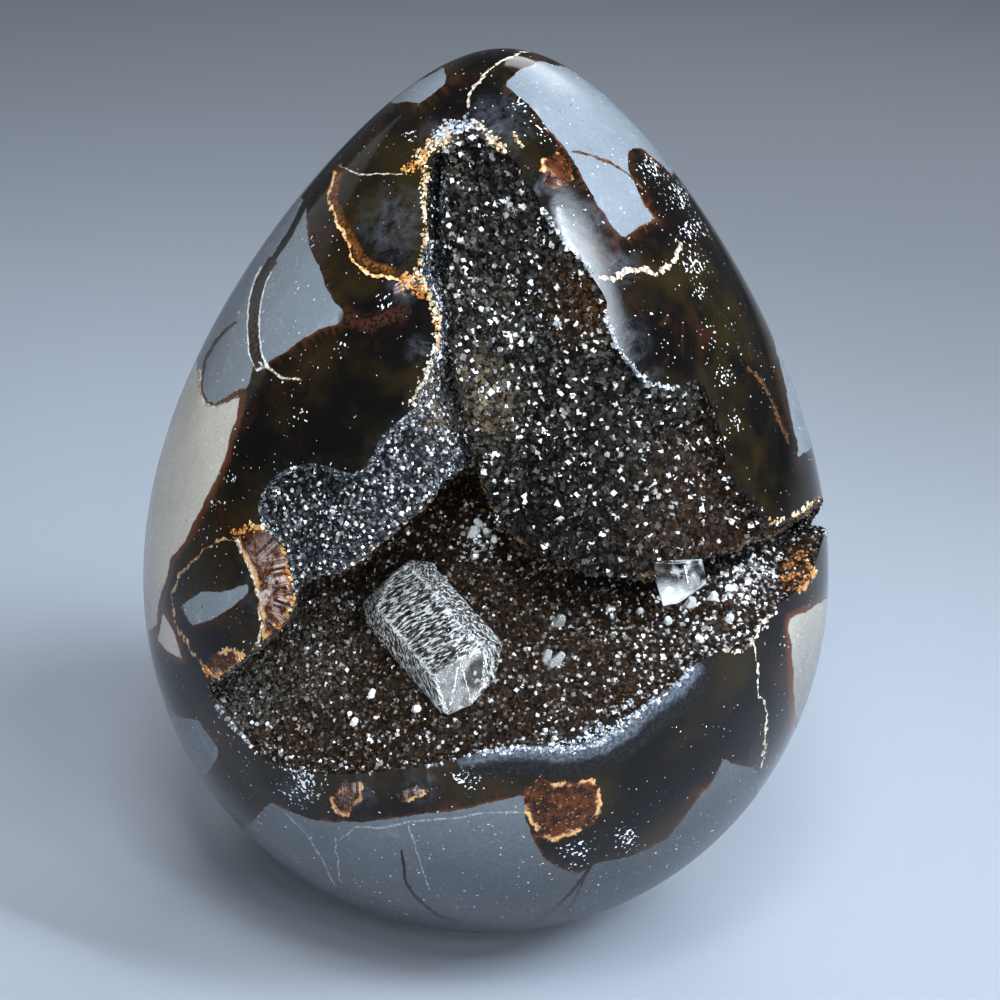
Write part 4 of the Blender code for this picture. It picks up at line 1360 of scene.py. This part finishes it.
def make_large_crystal():
    px, py = np.array(CLEAR_CRYSTAL).T[:2]
    backs = zip(px, py, first_in_stone(px, py, hollow, 0.060, 0.0) - CLEAR_FOOT)
    corners = [from_sheet(*corner) for corner in CLEAR_CRYSTAL + list(backs)]
    thing = crystal_hull("clear_crystal_fine", corners, CLEAR_CELL)
    mesh = thing.data
    places = read_vectors(mesh.vertices, "co")
    normals = read_vectors(mesh.vertices, "normal")
    px, py, near = to_sheet(*places.T)
    across, lengthwise = streak_spaces(*places.T)
    on_top = within(px, py, CLEAR_TOP_FACE, 3)
    on_end = within(px, py, CLEAR_END_FACE, 3)
    grain = np.where(on_top > 0.5, across, lengthwise)
    streak = ripple(*grain, STREAK_SIZE, 61, 24)
    relief = STREAK_HEIGHT * streak * (1 - 0.9 * on_end)
    places = places + normals * np.minimum(relief, 0.4 * STREAK_HEIGHT)[:, None]
    mesh.vertices.foreach_set("co", places.ravel())
    mesh.update()
    window = within(px, py, CLEAR_WINDOW, 4)
    edge_gap = np.abs(outline_distance(px, py, CLEAR_TOP_FACE))
    edge_gap = np.minimum(edge_gap, np.abs(outline_distance(px, py, CLEAR_END_FACE)))
    # Frost along the face edges: partly frosted rims, partly painted highlight for the bright
    # lines on the crystal's edges
    on_edge = np.clip(1.3 - edge_gap / 2.2, 0.0, 1.0)
    frost = 0.34 * on_edge * np.clip(0.7 + ripple(*places.T, 0.002, 67), 0.0, 1.0)
    cloudy = (0.20 + 0.10 * ripple(*places.T, 0.0014, 63, 20)) * (1 - 0.8 * window)
    frost = np.where(on_end > 0.5, np.maximum(0.6 * frost, cloudy), frost)
    add_number(mesh, "frost", np.clip(frost, 0.0, 1.0))
    add_number(mesh, "streaky", 0.50 - 0.49 * on_end)
    add_vector(mesh, "grain", *grain)
    mesh.materials.append(clear_material("clear_calcite_large", 0.06, 9.0, streaked=True))
    mesh.shade_smooth()
    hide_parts("clear_crystal")
    return thing


def make_slit_crystal():
    backs = [(x, y, near - SLIT_THICKNESS) for x, y, near in SLIT_CRYSTAL]
    corners = [from_sheet(*corner) for corner in SLIT_CRYSTAL + backs]
    thing = crystal_hull("slit_crystal_fine", corners, CLEAR_CELL * 0.8)
    mesh = thing.data
    places = read_vectors(mesh.vertices, "co")
    px, py, near = to_sheet(*places.T)
    low = np.clip((py - 578) / 22, 0.0, 1.0)
    frost = low * 0.55 + 0.35 * np.clip(ripple(*places.T, 0.0018, 71), 0.0, 1.0)
    add_number(mesh, "frost", np.clip(frost, 0.0, 1.0))
    mesh.materials.append(clear_material("clear_calcite_small", 0.03, 40.0))
    mesh.shade_smooth()
    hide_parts("slit_crystal")
    return thing


# Which way the small crystals stand, how far each leans from it, and their shape as shares
# of their half length
GEM_WAY = (0.0, -0.55, 0.83)
GEM_LEAN = 0.35
GEM_LENGTH = 1.5
GEM_TAPER = 0.55
GEM_LIFT = 0.3


def make_floor_gems():
    """Small clear and white crystals that stand alone on the hollow's floor."""
    gems = np.array(FLOOR_GEMS)
    px, py = gems[:, 0], gems[:, 1]
    near = first_in_stone(px, py, lumpy_hollow)
    places = np.stack(from_sheet(px, py, near), axis=1)
    rng = np.random.default_rng(81)
    up = unit(np.array(GEM_WAY) + rng.normal(size=(len(gems), 3)) * GEM_LEAN)
    shape = bmesh.new()
    frost = []
    for place, way, (half, slender, white) in zip(places, up, gems[:, 2:]):
        turn = Vector(way).to_track_quat("Z", "X").to_matrix()
        turn = turn @ Matrix.Rotation(rng.uniform(0, math.pi), 3, "Z")
        made = bmesh.ops.create_cone(
            shape, cap_ends=True, segments=6, radius1=half * slender,
            radius2=half * slender * GEM_TAPER, depth=half * GEM_LENGTH)
        middle = Vector(place) + Vector(way) * half * GEM_LIFT * MM
        for vert in made["verts"]:
            vert.co = turn @ Vector(vert.co) * MM + middle
            frost.append(white)
    mesh = bpy.data.meshes.new("floor_crystals")
    shape.to_mesh(mesh)
    shape.free()
    add_number(mesh, "frost", frost)
    mesh.materials.append(clear_material("clear_calcite_grains", 0.04, 40.0))
    return new_object("floor_crystals", mesh)


# Floor, light and camera

def make_stage():
    bpy.ops.mesh.primitive_plane_add(size=6.0, location=(0, 0, 0))
    floor = bpy.context.object
    floor.name = "floor"
    look = Shader("pale_floor")
    look.set("Base Color", (0.25, 0.28, 0.33))
    look.set("Roughness", 0.7)
    floor.data.materials.append(look.material)


def area_light(name, place, target, size, power, colour=(1, 1, 1), spread=180):
    light = bpy.data.lights.new(name, "AREA")
    light.shape = "RECTANGLE"
    light.size, light.size_y = size
    light.energy = power
    light.color = colour
    light.spread = math.radians(spread)
    thing = new_object(name, light)
    thing.location = place
    aim = Vector(target) - Vector(place)
    thing.rotation_euler = aim.to_track_quat("-Z", "Y").to_euler()


def toward(azimuth, elevation, distance):
    """A place seen from the egg's middle at an azimuth right of the front, in degrees."""
    a, e = math.radians(azimuth), math.radians(elevation)
    return (distance * math.sin(a) * math.cos(e), -distance * math.cos(a) * math.cos(e),
            CENTRE_Z + distance * math.sin(e))


# Small lights that make the druse glitter: elevation, then azimuths, in degrees
SPARK_ROWS = [
    (0, (-12, 6, 24, 42, 56)), (10, (-6, 12, 30, 48)), (20, (-14, 4, 22, 40)),
    (30, (-8, 10, 28)), (40, (-14, 2, 18, 32)), (50, (-6, 10, 24)),
]


SPARK_SIZE = (0.055, 0.055)
SPARK_POWER = 0.42
SPARK_DISTANCE = 0.8
WORLD_COLOUR = (0.55, 0.60, 0.68, 1.0)
WORLD_STRENGTH = 0.16


def make_light():
    middle = (0, 0, CENTRE_Z)
    cool = (0.93, 0.97, 1.0)
    blue = (0.80, 0.90, 1.0)
    area_light("key", toward(-2, 58, 0.85), middle, (0.24, 0.20), 5.0, cool)
    area_light("right_strip", toward(53, 46, 0.80), middle, (0.030, 0.38), 2.5, blue)
    glow_place = Vector(toward(63, 46, 0.82))
    glow_target = Vector(middle) + glow_place - Vector(toward(54, 46, 0.82))
    area_light("right_glow", glow_place, glow_target, (0.26, 0.42), 0.6, blue, 34)
    area_light("left_fill", toward(-122, 10, 1.4), middle, (0.9, 0.9), 1.1, cool)
    area_light("back", toward(160, 45, 1.0), middle, (0.5, 0.4), 3.5)
    rng = np.random.default_rng(91)
    for row, (elevation, azimuths) in enumerate(SPARK_ROWS):
        for number, azimuth in enumerate(azimuths):
            place = toward(azimuth + rng.uniform(-4, 4), elevation + rng.uniform(-3, 3),
                           SPARK_DISTANCE)
            area_light(f"spark_{row}_{number}", place, middle, SPARK_SIZE, SPARK_POWER, cool)
    world = bpy.data.worlds.new("studio")
    bpy.context.scene.world = world
    world.use_nodes = True
    background = world.node_tree.nodes["Background"]
    background.inputs["Color"].default_value = WORLD_COLOUR
    background.inputs["Strength"].default_value = WORLD_STRENGTH


def make_camera():
    lens = bpy.data.cameras.new("camera")
    lens.sensor_width = 36.0
    lens.lens = SIGHT_DISTANCE / SHEET_UNIT * 36.0 / 1000
    lens.shift_x = (500 - SHEET_MIDDLE[0]) / 1000
    lens.shift_y = -(500 - SHEET_MIDDLE[1]) / 1000
    lens.clip_start = 0.01
    thing = new_object("camera", lens)
    back = Vector((0, -math.cos(SIGHT_TILT), math.sin(SIGHT_TILT)))
    right = Vector((1, 0, 0))
    up = back.cross(right)
    turned_right = right * math.cos(SHEET_ROLL) + up * math.sin(SHEET_ROLL)
    turned_up = up * math.cos(SHEET_ROLL) - right * math.sin(SHEET_ROLL)
    spot = back * SIGHT_DISTANCE + Vector((0, 0, CENTRE_Z))
    turn = Matrix((turned_right, turned_up, back)).transposed().to_4x4()
    thing.matrix_world = Matrix.Translation(spot) @ turn
    bpy.context.scene.camera = thing


def build():
    nodule, on_wall = make_nodule()
    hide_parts("nodule")
    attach(nodule, "root")
    for piece in make_druse(nodule, on_wall):
        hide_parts("druse_crust")
        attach(piece, "root")
    for piece in (make_large_crystal(), make_slit_crystal(), make_floor_gems()):
        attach(piece, "root")
    make_stage()
    make_light()
    make_camera()
    bpy.context.scene.view_settings.view_transform = "Standard"


build()
